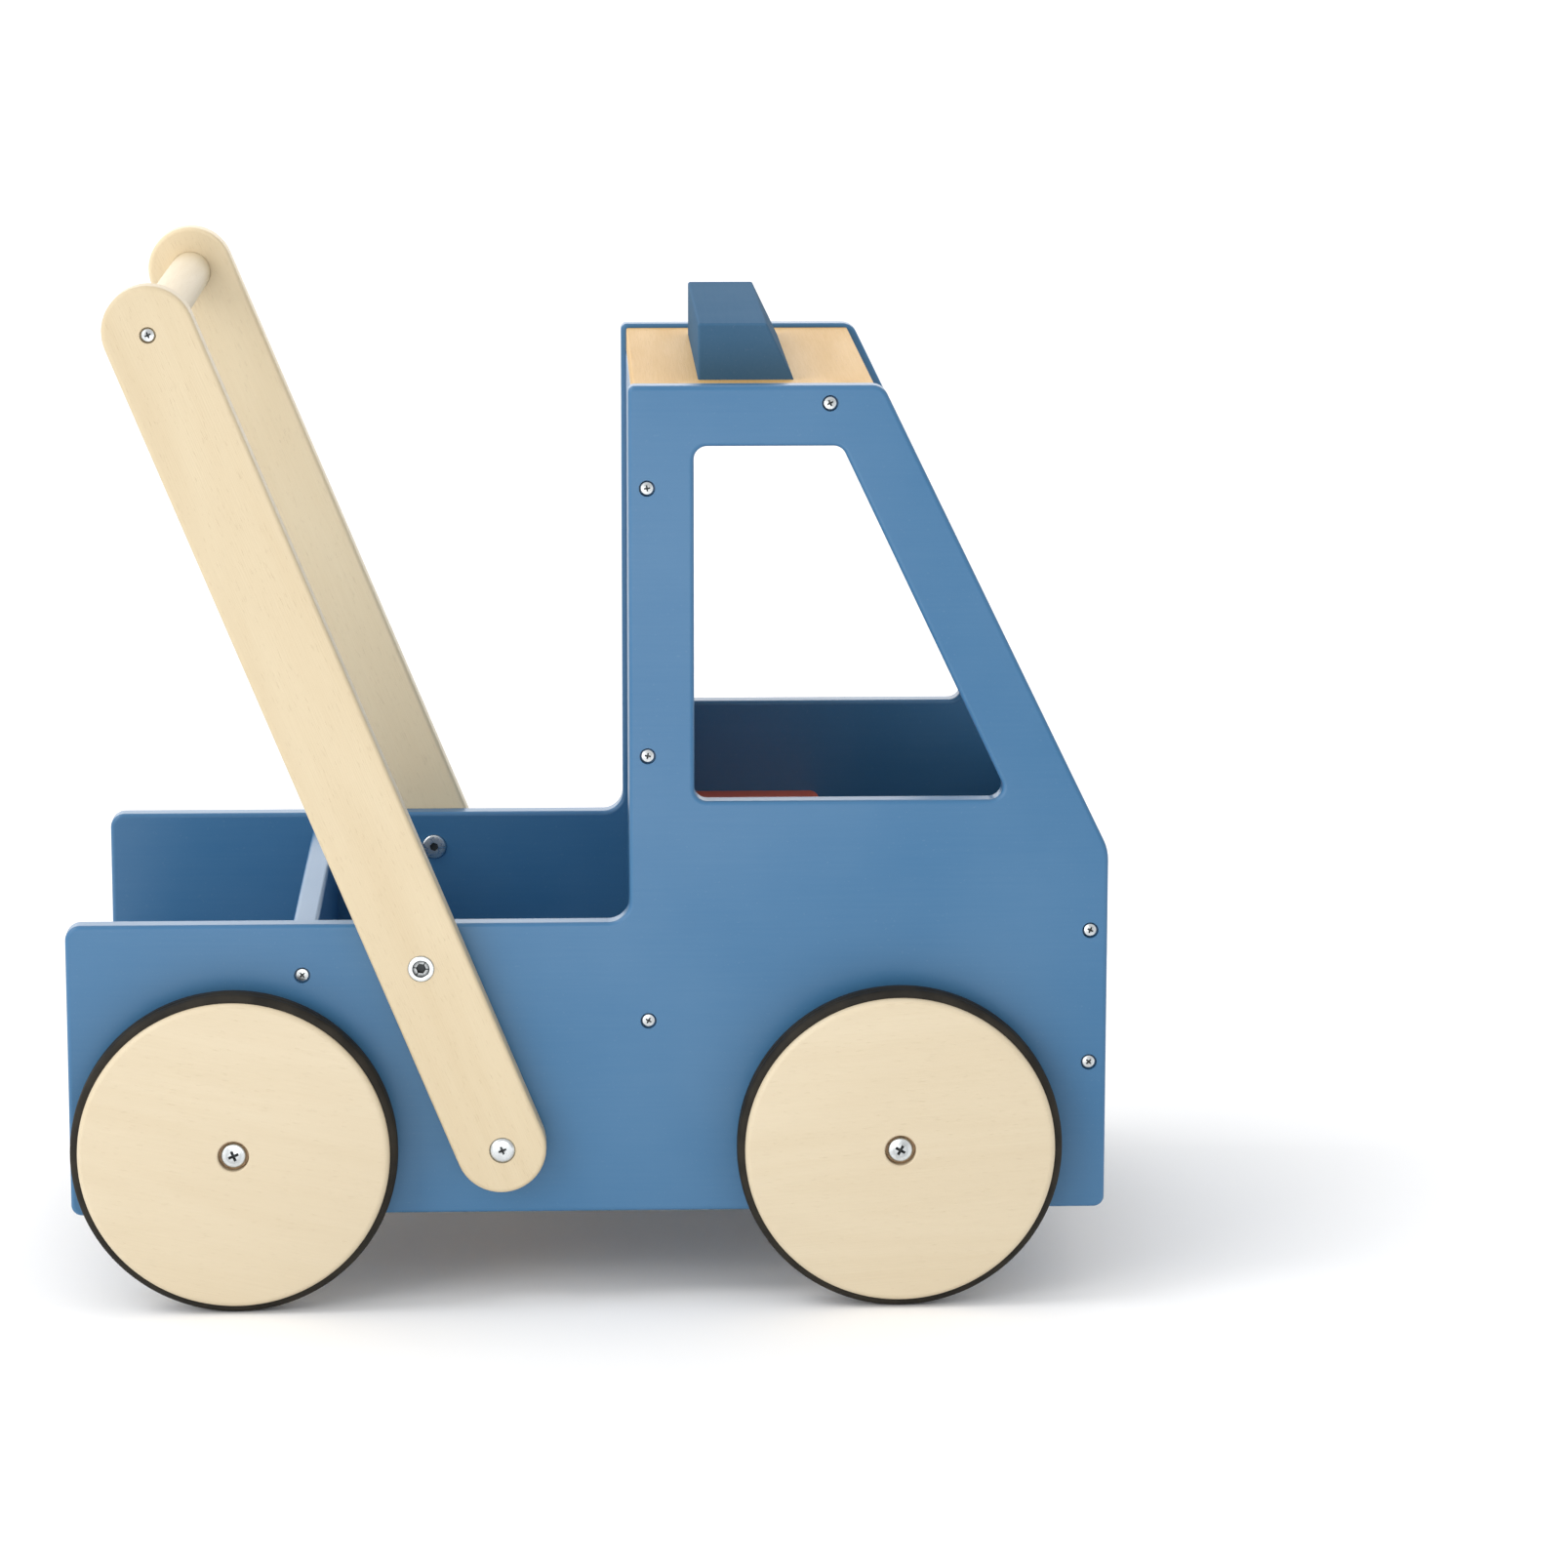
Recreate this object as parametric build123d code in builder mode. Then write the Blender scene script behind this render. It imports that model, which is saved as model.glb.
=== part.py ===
from build123d import *
import math
import os

# A push-along wooden truck for a toddler: two plywood sides tied together by cross boards, an open cab
# with a seat, a cargo bed, a push handle and four wheels.  Millimetres.  +X is forward, +Y the truck's
# left and +Z up; the origin is on the ground, under the middle of the body.
# Pieces are sketched for the right side (-Y) and mirrored to the left where they come in pairs.

os.makedirs("parts", exist_ok=True)

# ---------------------------------------------------------------- driving dimensions
BODY_LENGTH = 480.0
INNER_WIDTH = 250.0
BOARD = 12.0
EDGE_ROUND = 2.0
HIDDEN_ROUND = 1.0

PANEL_BOTTOM = 41.0
BED_TOP = 178.5
CAB_TOP = 426.5
CAB_REAR = 19.2
CAB_FRONT_TOP = 134.8
NOSE_TOP = 211.0

WINDOW_REAR = 49.0
WINDOW_SILL = 235.0
WINDOW_TOP = 398.9
WINDOW_SILL_FRONT = 194.2
WINDOW_TOP_FRONT = 116.2
WINDOW_ROUND = 6.0
# Corner roundings of a side panel's outline, from the tail's foot up and round to the nose's foot.
PANEL_ROUNDS = [5.0, 7.0, 10.0, 3.0, 8.0, 22.0, 5.0]

AXLE_HEIGHT = 75.2
FRONT_AXLE = 143.2
REAR_AXLE = -163.2
DISC_RADIUS = 71.6
TYRE_RADIUS = 75.2
WHEEL_WIDTH = 20.0
WHEEL_GAP = 4.0
RIM_ROUND = 2.8
RIM_LIP = 3.0
CHANNEL_DEPTH = 2.0
TYRE_SHOULDER = 3.0

BEAM_HEIGHT = 24.0
BEAM_WIDTH = 40.0
BEAM_ROUND = 1.5

TAIL_BOARD_REAR = -137.6
TAIL_BOARD_TOP = 171.5
CAB_WALL_REAR = 21.7
FRONT_WALL_INSET = 2.0
FRONT_WALL_TOP = 202.0
FRONT_WALL_BOTTOM = 82.8
FLOOR_REAR = -238.0
ROOF_REAR = 21.9
ROOF_FRONT = 132.3
ROOF_BELOW_PANEL_TOP = 2.1
SEAT_TOP = 188.6
SEAT_FRONT = 119.0
SEAT_NOSE_ROUND = 5.0
RISER_REAR = 92.0

LIGHT_HALF_WIDTH = 96.0
LIGHT_REAR = 52.0
LIGHT_BASE_FRONT = 96.0
LIGHT_TOP_FRONT = 83.5
LIGHT_HEIGHT = 26.0
LIGHT_ROUND = 1.2

ARM_THICKNESS = 15.0
ARM_WIDTH = 41.8
ARM_TOP = (-195.2, 452.9)  # centres of the rounded ends
ARM_FOOT = (-40.7, 75.3)
BAR_CENTRE = (-195.2, 451.7)
ARM_BOLT = (-40.1, 74.7)
SLEEVE_NUT = (-76.6, 160.8)
BAR_RADIUS = 10.0
BAR_SOCKET = 7.5

SCREW_HEAD = 3.1
SCREW_HEAD_HEIGHT = 2.2
SCREW_HEAD_BEVEL = 0.6
SCREW_RECESS = 1.7
SCREW_POINT = 5.0
SCREW_SHANK = 1.9
SCREW_SINK = 2.9
SCREW_HOLE = 3.75
BOLT_SHANK = 2.9
BOLT_POINT = 2.0
ARM_BOLT_HEAD = 6.0
ARM_BOLT_HEAD_HEIGHT = 2.4
ARM_BOLT_HEAD_BEVEL = 1.2
ARM_BOLT_RECESS = 2.5
ARM_BOLT_SINK = 1.9
WHEEL_BOLT_HEAD = 5.7
WHEEL_BOLT_HEAD_HEIGHT = 3.4
WHEEL_BOLT_HEAD_BEVEL = 1.1
WHEEL_BOLT_RECESS = 2.3
WHEEL_BOLT_SINK = 0.8
RECESS_WIDTH = 0.42  # of a cross recess's half length
RECESS_DEPTH = 0.6  # of its head's height
POINT_NARROWING = 0.35  # of a shank's radius, at its very end
SLEEVE_RADIUS = 5.0
BUSH_RADIUS = 7.1
SPACER_RADIUS = 10.0
INSERT_RADIUS = 4.5
INSERT_LENGTH = 16.0
INSERT_RELIEF = 4.0
FLANGE_RADIUS = 6.05
FLANGE_HEIGHT = 1.6
FLANGE_SINK = 1.0
FLANGE_ROUND = 0.7
BARREL_RADIUS = 4.0
BARREL_LENGTH = 19.0
BARREL_THREAD = 14.0
WELL_RADIUS = 3.9
WELL_DEPTH = 1.1
NUT_SOCKET = 2.6
NUT_SOCKET_DEPTH = 4.0
CONNECTOR_HEAD_HEIGHT = 2.2
CONNECTOR_REACH = 18.0
CONNECTOR_SOCKET = 2.3
CONNECTOR_SOCKET_DEPTH = 2.6

FIT = 0.1  # radial play round a fixed shank
RUNNING_FIT = 0.05  # radial play of the bush on its sleeve
END_PLAY = 0.3  # play along the axle, each side of the wheel

# ---------------------------------------------------------------- worked-out places
SIDE_IN = INNER_WIDTH / 2
SIDE_OUT = SIDE_IN + BOARD
ARM_OUT = SIDE_OUT + ARM_THICKNESS
BODY_REAR = -BODY_LENGTH / 2
BODY_FRONT = BODY_LENGTH / 2
FLOOR_BOTTOM = AXLE_HEIGHT + BEAM_HEIGHT / 2
FLOOR_TOP = FLOOR_BOTTOM + BOARD
BEAM_BOTTOM = AXLE_HEIGHT - BEAM_HEIGHT / 2
FRONT_WALL_FRONT = BODY_FRONT - FRONT_WALL_INSET
FRONT_WALL_REAR = FRONT_WALL_FRONT - BOARD
CAB_WALL_FRONT = CAB_WALL_REAR + BOARD
ROOF_TOP = CAB_TOP - ROOF_BELOW_PANEL_TOP
ROOF_BOTTOM = ROOF_TOP - BOARD
SEAT_BOTTOM = SEAT_TOP - BOARD
WHEEL_BACK = SIDE_OUT + WHEEL_GAP
WHEEL_FACE = WHEEL_BACK + WHEEL_WIDTH
WHEEL_BOLT_SEAT = WHEEL_FACE - WHEEL_BOLT_SINK - WHEEL_BOLT_HEAD_HEIGHT

CENTRE_OF_BOARD = BOARD / 2
TAIL_X = TAIL_BOARD_REAR + CENTRE_OF_BOARD
CAB_WALL_X = CAB_WALL_REAR + CENTRE_OF_BOARD
FRONT_WALL_X = FRONT_WALL_REAR + CENTRE_OF_BOARD
RISER_X = RISER_REAR + CENTRE_OF_BOARD
LIGHT_SCREW_X = (LIGHT_REAR + LIGHT_TOP_FRONT) / 2
CHANNEL_FLOOR = DISC_RADIUS - CHANNEL_DEPTH

# Where the screws enter the side panels, by the board that each one holds.
TAIL_SCREWS = [(TAIL_X, 154.7), (TAIL_X, 116.3)]
CAB_WALL_SCREWS = [(CAB_WALL_X, 379.8), (CAB_WALL_X, 256.3), (CAB_WALL_X, 131.9)]
FRONT_WALL_SCREWS = [(FRONT_WALL_X, 173.2), (FRONT_WALL_X, 110.6)]
ROOF_SCREWS = [(110.8, ROOF_TOP - CENTRE_OF_BOARD)]
PANEL_SCREWS = TAIL_SCREWS + CAB_WALL_SCREWS + FRONT_WALL_SCREWS + ROOF_SCREWS

AXLES = [(FRONT_AXLE, AXLE_HEIGHT), (REAR_AXLE, AXLE_HEIGHT)]
FLOOR_SCREW_XS = [TAIL_X, CAB_WALL_X, RISER_X]
BEAM_XS = [REAR_AXLE, ARM_BOLT[0], FRONT_AXLE]
SCREW_HALF_SPREAD = 80.0
BEAM_SCREW_HALF_SPREAD = 60.0
LIGHT_SCREWS = [(LIGHT_SCREW_X, BEAM_SCREW_HALF_SPREAD), (LIGHT_SCREW_X, -BEAM_SCREW_HALF_SPREAD)]
SKIN_OVER_SCREW = 2.0  # wood left over the end of a blind hole in the floor
SKIN_OVER_LIGHT_SCREW = 6.0

PANEL_SCREW_LENGTH = 38.0
HANDLE_SCREW_LENGTH = 45.0
FLOOR_SCREW_LENGTH = 36.0
BEAM_SCREW_LENGTH = 30.0
SEAT_SCREW_LENGTH = 36.0
LIGHT_SCREW_LENGTH = 26.0

RIGHT_FACE = Plane.XZ.offset(SIDE_OUT)  # outer face of the right side panel, looking out to -Y
RIGHT_INNER_FACE = Plane.XZ.offset(SIDE_IN)
LEFT_OUTWARD = Plane(origin=(0, SIDE_IN, 0), x_dir=(1, 0, 0), z_dir=(0, 1, 0))  # its local y runs down
ARM_FACE = Plane.XZ.offset(ARM_OUT)
UNDERSIDE = Plane.XY.rotated((180, 0, 0))  # looks down; its local y runs to -Y
# The cab wall's rear face at the height of the seat, looking back; its local y runs to -Y.
CAB_WALL_BACK = Plane(
    origin=(CAB_WALL_REAR, 0, SEAT_BOTTOM + CENTRE_OF_BOARD), x_dir=(0, 0, -1), z_dir=(-1, 0, 0)
)


def write(piece, name):
    """Label a finished piece and write it as a STEP file of the same name."""
    piece.label = name
    export_step(piece, f"parts/{name}.step")


def write_pair(right_piece, name):
    """Write the right-hand piece and its mirror image on the left."""
    write(right_piece, f"{name}_right")
    with BuildPart() as left:
        mirror(right_piece, about=Plane.XZ)
    write(left.part, f"{name}_left")


def drill_ends(points, radius, depth):
    """Drill both ends of a cross board, inwards from the side panels."""
    with Locations(RIGHT_INNER_FACE):
        with Locations(*points):
            Hole(radius, depth=depth)
    with Locations(LEFT_OUTWARD):
        with Locations(*[(x, -z) for x, z in points]):
            Hole(radius, depth=depth)


def headed_shank(head_radius, head_height, bevel, shank_radius, length, recess, point):
    """A screw with its head's flat top at Z = 0 and its shank pointing down -Z."""
    with BuildPart() as item:
        with BuildSketch(Plane.XZ):
            with BuildLine():
                Polyline(
                    (0, 0),
                    (head_radius - bevel, 0),
                    (head_radius, -bevel),
                    (head_radius, -head_height),
                    (shank_radius, -head_height),
                    (shank_radius, -head_height - length + point),
                    (shank_radius * POINT_NARROWING, -head_height - length),
                    (0, -head_height - length),
                    close=True,
                )
            make_face()
        revolve(axis=Axis.Z)
        with BuildSketch(Plane.XY):
            Rectangle(2 * recess, RECESS_WIDTH * recess)
            Rectangle(RECESS_WIDTH * recess, 2 * recess)
        extrude(amount=-RECESS_DEPTH * head_height, mode=Mode.SUBTRACT)
    return item.part


# ---------------------------------------------------------------- side panels
def side_panel():
    """The truck's side in outline, with the window, the screw holes and the bolt holes."""
    outline = [
        (BODY_REAR, PANEL_BOTTOM),
        (BODY_REAR, BED_TOP),
        (CAB_REAR, BED_TOP),
        (CAB_REAR, CAB_TOP),
        (CAB_FRONT_TOP, CAB_TOP),
        (BODY_FRONT, NOSE_TOP),
        (BODY_FRONT, PANEL_BOTTOM),
    ]
    window = [
        (WINDOW_REAR, WINDOW_SILL),
        (WINDOW_REAR, WINDOW_TOP),
        (WINDOW_TOP_FRONT, WINDOW_TOP),
        (WINDOW_SILL_FRONT, WINDOW_SILL),
    ]
    with BuildPart() as panel:
        with BuildSketch(RIGHT_INNER_FACE):
            with BuildLine():
                FilletPolyline(*outline, radius=PANEL_ROUNDS, close=True)
            make_face()
            with BuildLine():
                FilletPolyline(*window, radius=WINDOW_ROUND, close=True)
            make_face(mode=Mode.SUBTRACT)
        extrude(amount=BOARD)
        fillet(faces().sort_by(Axis.Y)[0].edges(), EDGE_ROUND)
        fillet(faces().sort_by(Axis.Y)[-1].edges(), EDGE_ROUND)
        with Locations(RIGHT_FACE):
            with Locations(*PANEL_SCREWS):
                CounterBoreHole(SCREW_SHANK + FIT, SCREW_HOLE, SCREW_SINK, depth=BOARD)
            with Locations(*AXLES, ARM_BOLT):
                Hole(BOLT_SHANK + FIT, depth=BOARD)
            with Locations(SLEEVE_NUT):
                Hole(BARREL_RADIUS + FIT, depth=BOARD)
        with Locations(Plane(origin=(0, -SIDE_IN, 0), x_dir=(1, 0, 0), z_dir=(0, 1, 0))):
            with Locations((SLEEVE_NUT[0], -SLEEVE_NUT[1])):
                Hole(FLANGE_RADIUS + FIT, depth=FLANGE_SINK)
    return panel.part


# ---------------------------------------------------------------- cross boards
def cross_board(rear, front, bottom, top, edge_round):
    """A plain board that spans the width between the side panels."""
    with BuildPart() as board:
        with BuildSketch(Plane.XY.offset(bottom)):
            with Locations(((rear + front) / 2, 0)):
                Rectangle(front - rear, INNER_WIDTH)
        extrude(amount=top - bottom)
        fillet(edges().filter_by(Axis.Y), edge_round)
    return board.part


def tail_board():
    with BuildPart() as board:
        add(cross_board(TAIL_BOARD_REAR, TAIL_BOARD_REAR + BOARD, FLOOR_TOP, TAIL_BOARD_TOP, EDGE_ROUND))
        drill_ends(TAIL_SCREWS, SCREW_SHANK + FIT, PANEL_SCREW_LENGTH)
        with Locations(UNDERSIDE.offset(-FLOOR_TOP)):
            with Locations((TAIL_X, SCREW_HALF_SPREAD), (TAIL_X, -SCREW_HALF_SPREAD)):
                Hole(SCREW_SHANK + FIT, depth=FLOOR_SCREW_LENGTH)
    return board.part


def cab_rear_wall():
    with BuildPart() as wall:
        add(cross_board(CAB_WALL_REAR, CAB_WALL_FRONT, FLOOR_TOP, ROOF_BOTTOM, HIDDEN_ROUND))
        drill_ends(CAB_WALL_SCREWS, SCREW_SHANK + FIT, PANEL_SCREW_LENGTH)
        with Locations(UNDERSIDE.offset(-FLOOR_TOP)):
            with Locations((CAB_WALL_X, SCREW_HALF_SPREAD), (CAB_WALL_X, -SCREW_HALF_SPREAD)):
                Hole(SCREW_SHANK + FIT, depth=FLOOR_SCREW_LENGTH)
        with Locations(CAB_WALL_BACK):
            with Locations((0, SCREW_HALF_SPREAD), (0, -SCREW_HALF_SPREAD)):
                CounterBoreHole(SCREW_SHANK + FIT, SCREW_HOLE, SCREW_SINK, depth=BOARD)
    return wall.part


def front_wall():
    with BuildPart() as wall:
        add(cross_board(FRONT_WALL_REAR, FRONT_WALL_FRONT, FRONT_WALL_BOTTOM, FRONT_WALL_TOP, EDGE_ROUND))
        drill_ends(FRONT_WALL_SCREWS, SCREW_SHANK + FIT, PANEL_SCREW_LENGTH)
    return wall.part


def roof_board():
    with BuildPart() as board:
        add(cross_board(ROOF_REAR, ROOF_FRONT, ROOF_BOTTOM, ROOF_TOP, HIDDEN_ROUND))
        drill_ends(ROOF_SCREWS, SCREW_SHANK + FIT, PANEL_SCREW_LENGTH)
        with Locations(UNDERSIDE.offset(-ROOF_BOTTOM)):
            with Locations(*LIGHT_SCREWS):
                CounterBoreHole(SCREW_SHANK + FIT, SCREW_HOLE, SCREW_SINK, depth=BOARD)
    return board.part


def floor_board():
    """The floor runs from the rear of the body to the front wall, over the three beams."""
    with BuildPart() as board:
        add(cross_board(FLOOR_REAR, FRONT_WALL_REAR, FLOOR_BOTTOM, FLOOR_TOP, HIDDEN_ROUND))
        through = [(x, y) for x in FLOOR_SCREW_XS for y in (SCREW_HALF_SPREAD, -SCREW_HALF_SPREAD)]
        blind = [(x, y) for x in BEAM_XS for y in (BEAM_SCREW_HALF_SPREAD, -BEAM_SCREW_HALF_SPREAD)]
        with Locations(UNDERSIDE.offset(-FLOOR_BOTTOM)):
            with Locations(*through):
                CounterBoreHole(SCREW_SHANK + FIT, SCREW_HOLE, SCREW_SINK, depth=BOARD)
            with Locations(*blind):
                Hole(SCREW_SHANK + FIT, depth=BOARD - SKIN_OVER_SCREW)
    return board.part


def beam(middle):
    """A hardwood beam under the floor, with a threaded insert's hole in each end."""
    with BuildPart() as bar:
        rear = middle - BEAM_WIDTH / 2
        add(cross_board(rear, rear + BEAM_WIDTH, BEAM_BOTTOM, FLOOR_BOTTOM, BEAM_ROUND))
        height = ARM_BOLT[1] if middle == ARM_BOLT[0] else AXLE_HEIGHT
        drill_ends([(middle, height)], INSERT_RADIUS + FIT, INSERT_LENGTH + INSERT_RELIEF)
        with Locations(UNDERSIDE.offset(-BEAM_BOTTOM)):
            with Locations((middle, BEAM_SCREW_HALF_SPREAD), (middle, -BEAM_SCREW_HALF_SPREAD)):
                CounterBoreHole(SCREW_SHANK + FIT, SCREW_HOLE, SCREW_SINK, depth=BEAM_HEIGHT)
    return bar.part


# ---------------------------------------------------------------- cab
def seat_board():
    with BuildPart() as board:
        with BuildSketch(RIGHT_INNER_FACE):
            with Locations(((CAB_WALL_FRONT + SEAT_FRONT) / 2, (SEAT_BOTTOM + SEAT_TOP) / 2)):
                Rectangle(SEAT_FRONT - CAB_WALL_FRONT, BOARD)
        extrude(amount=-INNER_WIDTH)
        fillet(edges().filter_by(Axis.Y).group_by(Axis.X)[-1], SEAT_NOSE_ROUND)
        with Locations(CAB_WALL_BACK.offset(-BOARD)):
            with Locations((0, SCREW_HALF_SPREAD), (0, -SCREW_HALF_SPREAD)):
                Hole(SCREW_SHANK + FIT, depth=SEAT_SCREW_LENGTH)
    return board.part


def seat_riser():
    with BuildPart() as board:
        add(cross_board(RISER_REAR, RISER_REAR + BOARD, FLOOR_TOP, SEAT_BOTTOM, HIDDEN_ROUND))
        with Locations(UNDERSIDE.offset(-FLOOR_TOP)):
            with Locations((RISER_X, SCREW_HALF_SPREAD), (RISER_X, -SCREW_HALF_SPREAD)):
                Hole(SCREW_SHANK + FIT, depth=FLOOR_SCREW_LENGTH)
    return board.part


def roof_light_block():
    """The painted block on the roof: upright behind, raked in front like the cab."""
    with BuildPart() as block:
        with BuildSketch(Plane.XZ.offset(LIGHT_HALF_WIDTH)):
            with BuildLine():
                Polyline(
                    (LIGHT_REAR, ROOF_TOP),
                    (LIGHT_REAR, ROOF_TOP + LIGHT_HEIGHT),
                    (LIGHT_TOP_FRONT, ROOF_TOP + LIGHT_HEIGHT),
                    (LIGHT_BASE_FRONT, ROOF_TOP),
                    close=True,
                )
            make_face()
        extrude(amount=-2 * LIGHT_HALF_WIDTH)
        base = edges().group_by(Axis.Z)[0]
        fillet(edges() - base, LIGHT_ROUND)
        with Locations(UNDERSIDE.offset(-ROOF_TOP)):
            with Locations(*LIGHT_SCREWS):
                Hole(SCREW_SHANK + FIT, depth=LIGHT_HEIGHT - SKIN_OVER_LIGHT_SCREW)
    return block.part


# ---------------------------------------------------------------- push handle
def handle_arm():
    """A round-ended arm outside the side panel, leaning back, with a blind socket for the bar."""
    reach = math.dist(ARM_TOP, ARM_FOOT)
    lean = math.degrees(math.atan2(ARM_TOP[1] - ARM_FOOT[1], ARM_TOP[0] - ARM_FOOT[0]))
    middle = ((ARM_TOP[0] + ARM_FOOT[0]) / 2, (ARM_TOP[1] + ARM_FOOT[1]) / 2)
    with BuildPart() as arm:
        with BuildSketch(RIGHT_FACE):
            with Locations(middle):
                SlotCenterToCenter(reach, ARM_WIDTH, rotation=lean)
        extrude(amount=ARM_THICKNESS)
        fillet(faces().sort_by(Axis.Y)[0].edges(), EDGE_ROUND)
        fillet(faces().sort_by(Axis.Y)[-1].edges(), EDGE_ROUND)
        with BuildSketch(RIGHT_FACE):
            with Locations(BAR_CENTRE):
                Circle(BAR_RADIUS + FIT)
        extrude(amount=BAR_SOCKET, mode=Mode.SUBTRACT)
        with Locations(ARM_FACE):
            with Locations(BAR_CENTRE):
                CounterBoreHole(SCREW_SHANK + FIT, SCREW_HOLE, SCREW_SINK, depth=ARM_THICKNESS)
            with Locations(SLEEVE_NUT):
                CounterBoreHole(BARREL_RADIUS + FIT, FLANGE_RADIUS + FIT, FLANGE_SINK, depth=ARM_THICKNESS)
            with Locations(ARM_BOLT):
                CounterBoreHole(BOLT_SHANK + FIT, ARM_BOLT_HEAD + FIT, ARM_BOLT_SINK, depth=ARM_THICKNESS)
    return arm.part


def handle_bar():
    half = SIDE_OUT + BAR_SOCKET
    with BuildPart() as bar:
        with BuildSketch(Plane.XZ.offset(half)):
            with Locations(BAR_CENTRE):
                Circle(BAR_RADIUS)
        extrude(amount=-2 * half)
        drill_ends([BAR_CENTRE], SCREW_SHANK + FIT, HANDLE_SCREW_LENGTH + SIDE_OUT - SIDE_IN)
    return bar.part


# ---------------------------------------------------------------- wheels
def wheel_disc(x, z):
    """A round-edged wooden disc with a shallow channel for the tyre and a bore for the bush."""
    lip_front = WHEEL_WIDTH - RIM_LIP
    channel = [
        (CHANNEL_FLOOR, RIM_LIP),
        (DISC_RADIUS, RIM_LIP),
        (DISC_RADIUS, lip_front),
        (CHANNEL_FLOOR, lip_front),
    ]
    with BuildPart() as disc:
        with BuildSketch(Plane.XZ.offset(WHEEL_BACK)):
            with Locations((x, z)):
                Circle(DISC_RADIUS)
        extrude(amount=WHEEL_WIDTH)
        fillet(faces().sort_by(Axis.Y)[0].edges(), RIM_ROUND)
        fillet(faces().sort_by(Axis.Y)[-1].edges(), RIM_ROUND)
        with BuildSketch(Plane(origin=(x, -WHEEL_BACK, z), x_dir=(1, 0, 0), z_dir=(0, 0, -1))):
            with BuildLine():
                Polyline(*channel, close=True)
            make_face()
        revolve(axis=Axis((x, 0, z), (0, 1, 0)), mode=Mode.SUBTRACT)
        with Locations(Plane(origin=(x, -WHEEL_FACE, z), x_dir=(1, 0, 0), z_dir=(0, -1, 0))):
            Hole(BUSH_RADIUS + RUNNING_FIT, depth=WHEEL_WIDTH)
    return disc.part


def tyre(x, z):
    """A rubber band let into the disc's rim and standing proud of it."""
    with BuildPart() as band:
        with BuildSketch(Plane.XZ.offset(WHEEL_BACK + RIM_LIP)):
            with Locations((x, z)):
                Circle(TYRE_RADIUS)
                Circle(CHANNEL_FLOOR, mode=Mode.SUBTRACT)
        extrude(amount=WHEEL_WIDTH - 2 * RIM_LIP)
        fillet(edges().filter_by(GeomType.CIRCLE).sort_by(SortBy.RADIUS)[-2:], TYRE_SHOULDER)
    return band.part


def wheel_bush(x, z):
    """The plastic bearing pressed into the disc; it ends just short of the bolt's head."""
    with BuildPart() as bush:
        with BuildSketch(Plane.XZ.offset(WHEEL_BACK)):
            with Locations((x, z)):
                Circle(BUSH_RADIUS)
                Circle(SLEEVE_RADIUS + RUNNING_FIT, mode=Mode.SUBTRACT)
        extrude(amount=WHEEL_BOLT_SEAT - WHEEL_BACK - END_PLAY)
    return bush.part


# ---------------------------------------------------------------- axle pieces and fasteners
def rings(points, plane, outer, inner, length):
    """Plain tubes that stand on a plane."""
    with BuildPart() as group:
        with BuildSketch(plane):
            with Locations(*points):
                Circle(outer)
                Circle(inner, mode=Mode.SUBTRACT)
        extrude(amount=length)
    return group.part


def both_sides(right_group):
    """A right-hand group together with its mirror image."""
    with BuildPart() as group:
        add(right_group)
        mirror(right_group, about=Plane.XZ)
    return group.part


def placed(fastener, plane, points):
    """Copies of a fastener whose head lies in a plane and whose shank points into it."""
    with BuildPart() as group:
        with Locations(plane):
            with Locations(*points):
                add(fastener)
    return group.part


def wood_screw(length):
    return headed_shank(
        SCREW_HEAD, SCREW_HEAD_HEIGHT, SCREW_HEAD_BEVEL, SCREW_SHANK, length, SCREW_RECESS, SCREW_POINT
    )


def sunk(plane):
    """The plane of a screw head's top, a little below the face that it is sunk into."""
    return plane.offset(SCREW_HEAD_HEIGHT - SCREW_SINK)


def sleeve_nut():
    """The flanged nut at the arm's middle, with a socket at the foot of its well."""
    seat = ARM_FACE.offset(-FLANGE_SINK)
    flange_top = seat.offset(FLANGE_HEIGHT)
    with BuildPart() as nut:
        with BuildSketch(seat):
            with Locations(SLEEVE_NUT):
                Circle(FLANGE_RADIUS)
        extrude(amount=FLANGE_HEIGHT)
        fillet(faces().sort_by(Axis.Y)[0].edges(), FLANGE_ROUND)
        with BuildSketch(seat):
            with Locations(SLEEVE_NUT):
                Circle(BARREL_RADIUS)
        extrude(amount=-BARREL_LENGTH)
        with BuildSketch(seat.offset(-BARREL_LENGTH)):
            with Locations(SLEEVE_NUT):
                Circle(BOLT_SHANK + FIT)
        extrude(amount=BARREL_THREAD, mode=Mode.SUBTRACT)
        with BuildSketch(flange_top):
            with Locations(SLEEVE_NUT):
                Circle(WELL_RADIUS)
        extrude(amount=-WELL_DEPTH, mode=Mode.SUBTRACT)
        with BuildSketch(flange_top.offset(-WELL_DEPTH)):
            with Locations(SLEEVE_NUT):
                RegularPolygon(NUT_SOCKET, 6)
        extrude(amount=-NUT_SOCKET_DEPTH, mode=Mode.SUBTRACT)
    return nut.part


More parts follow.
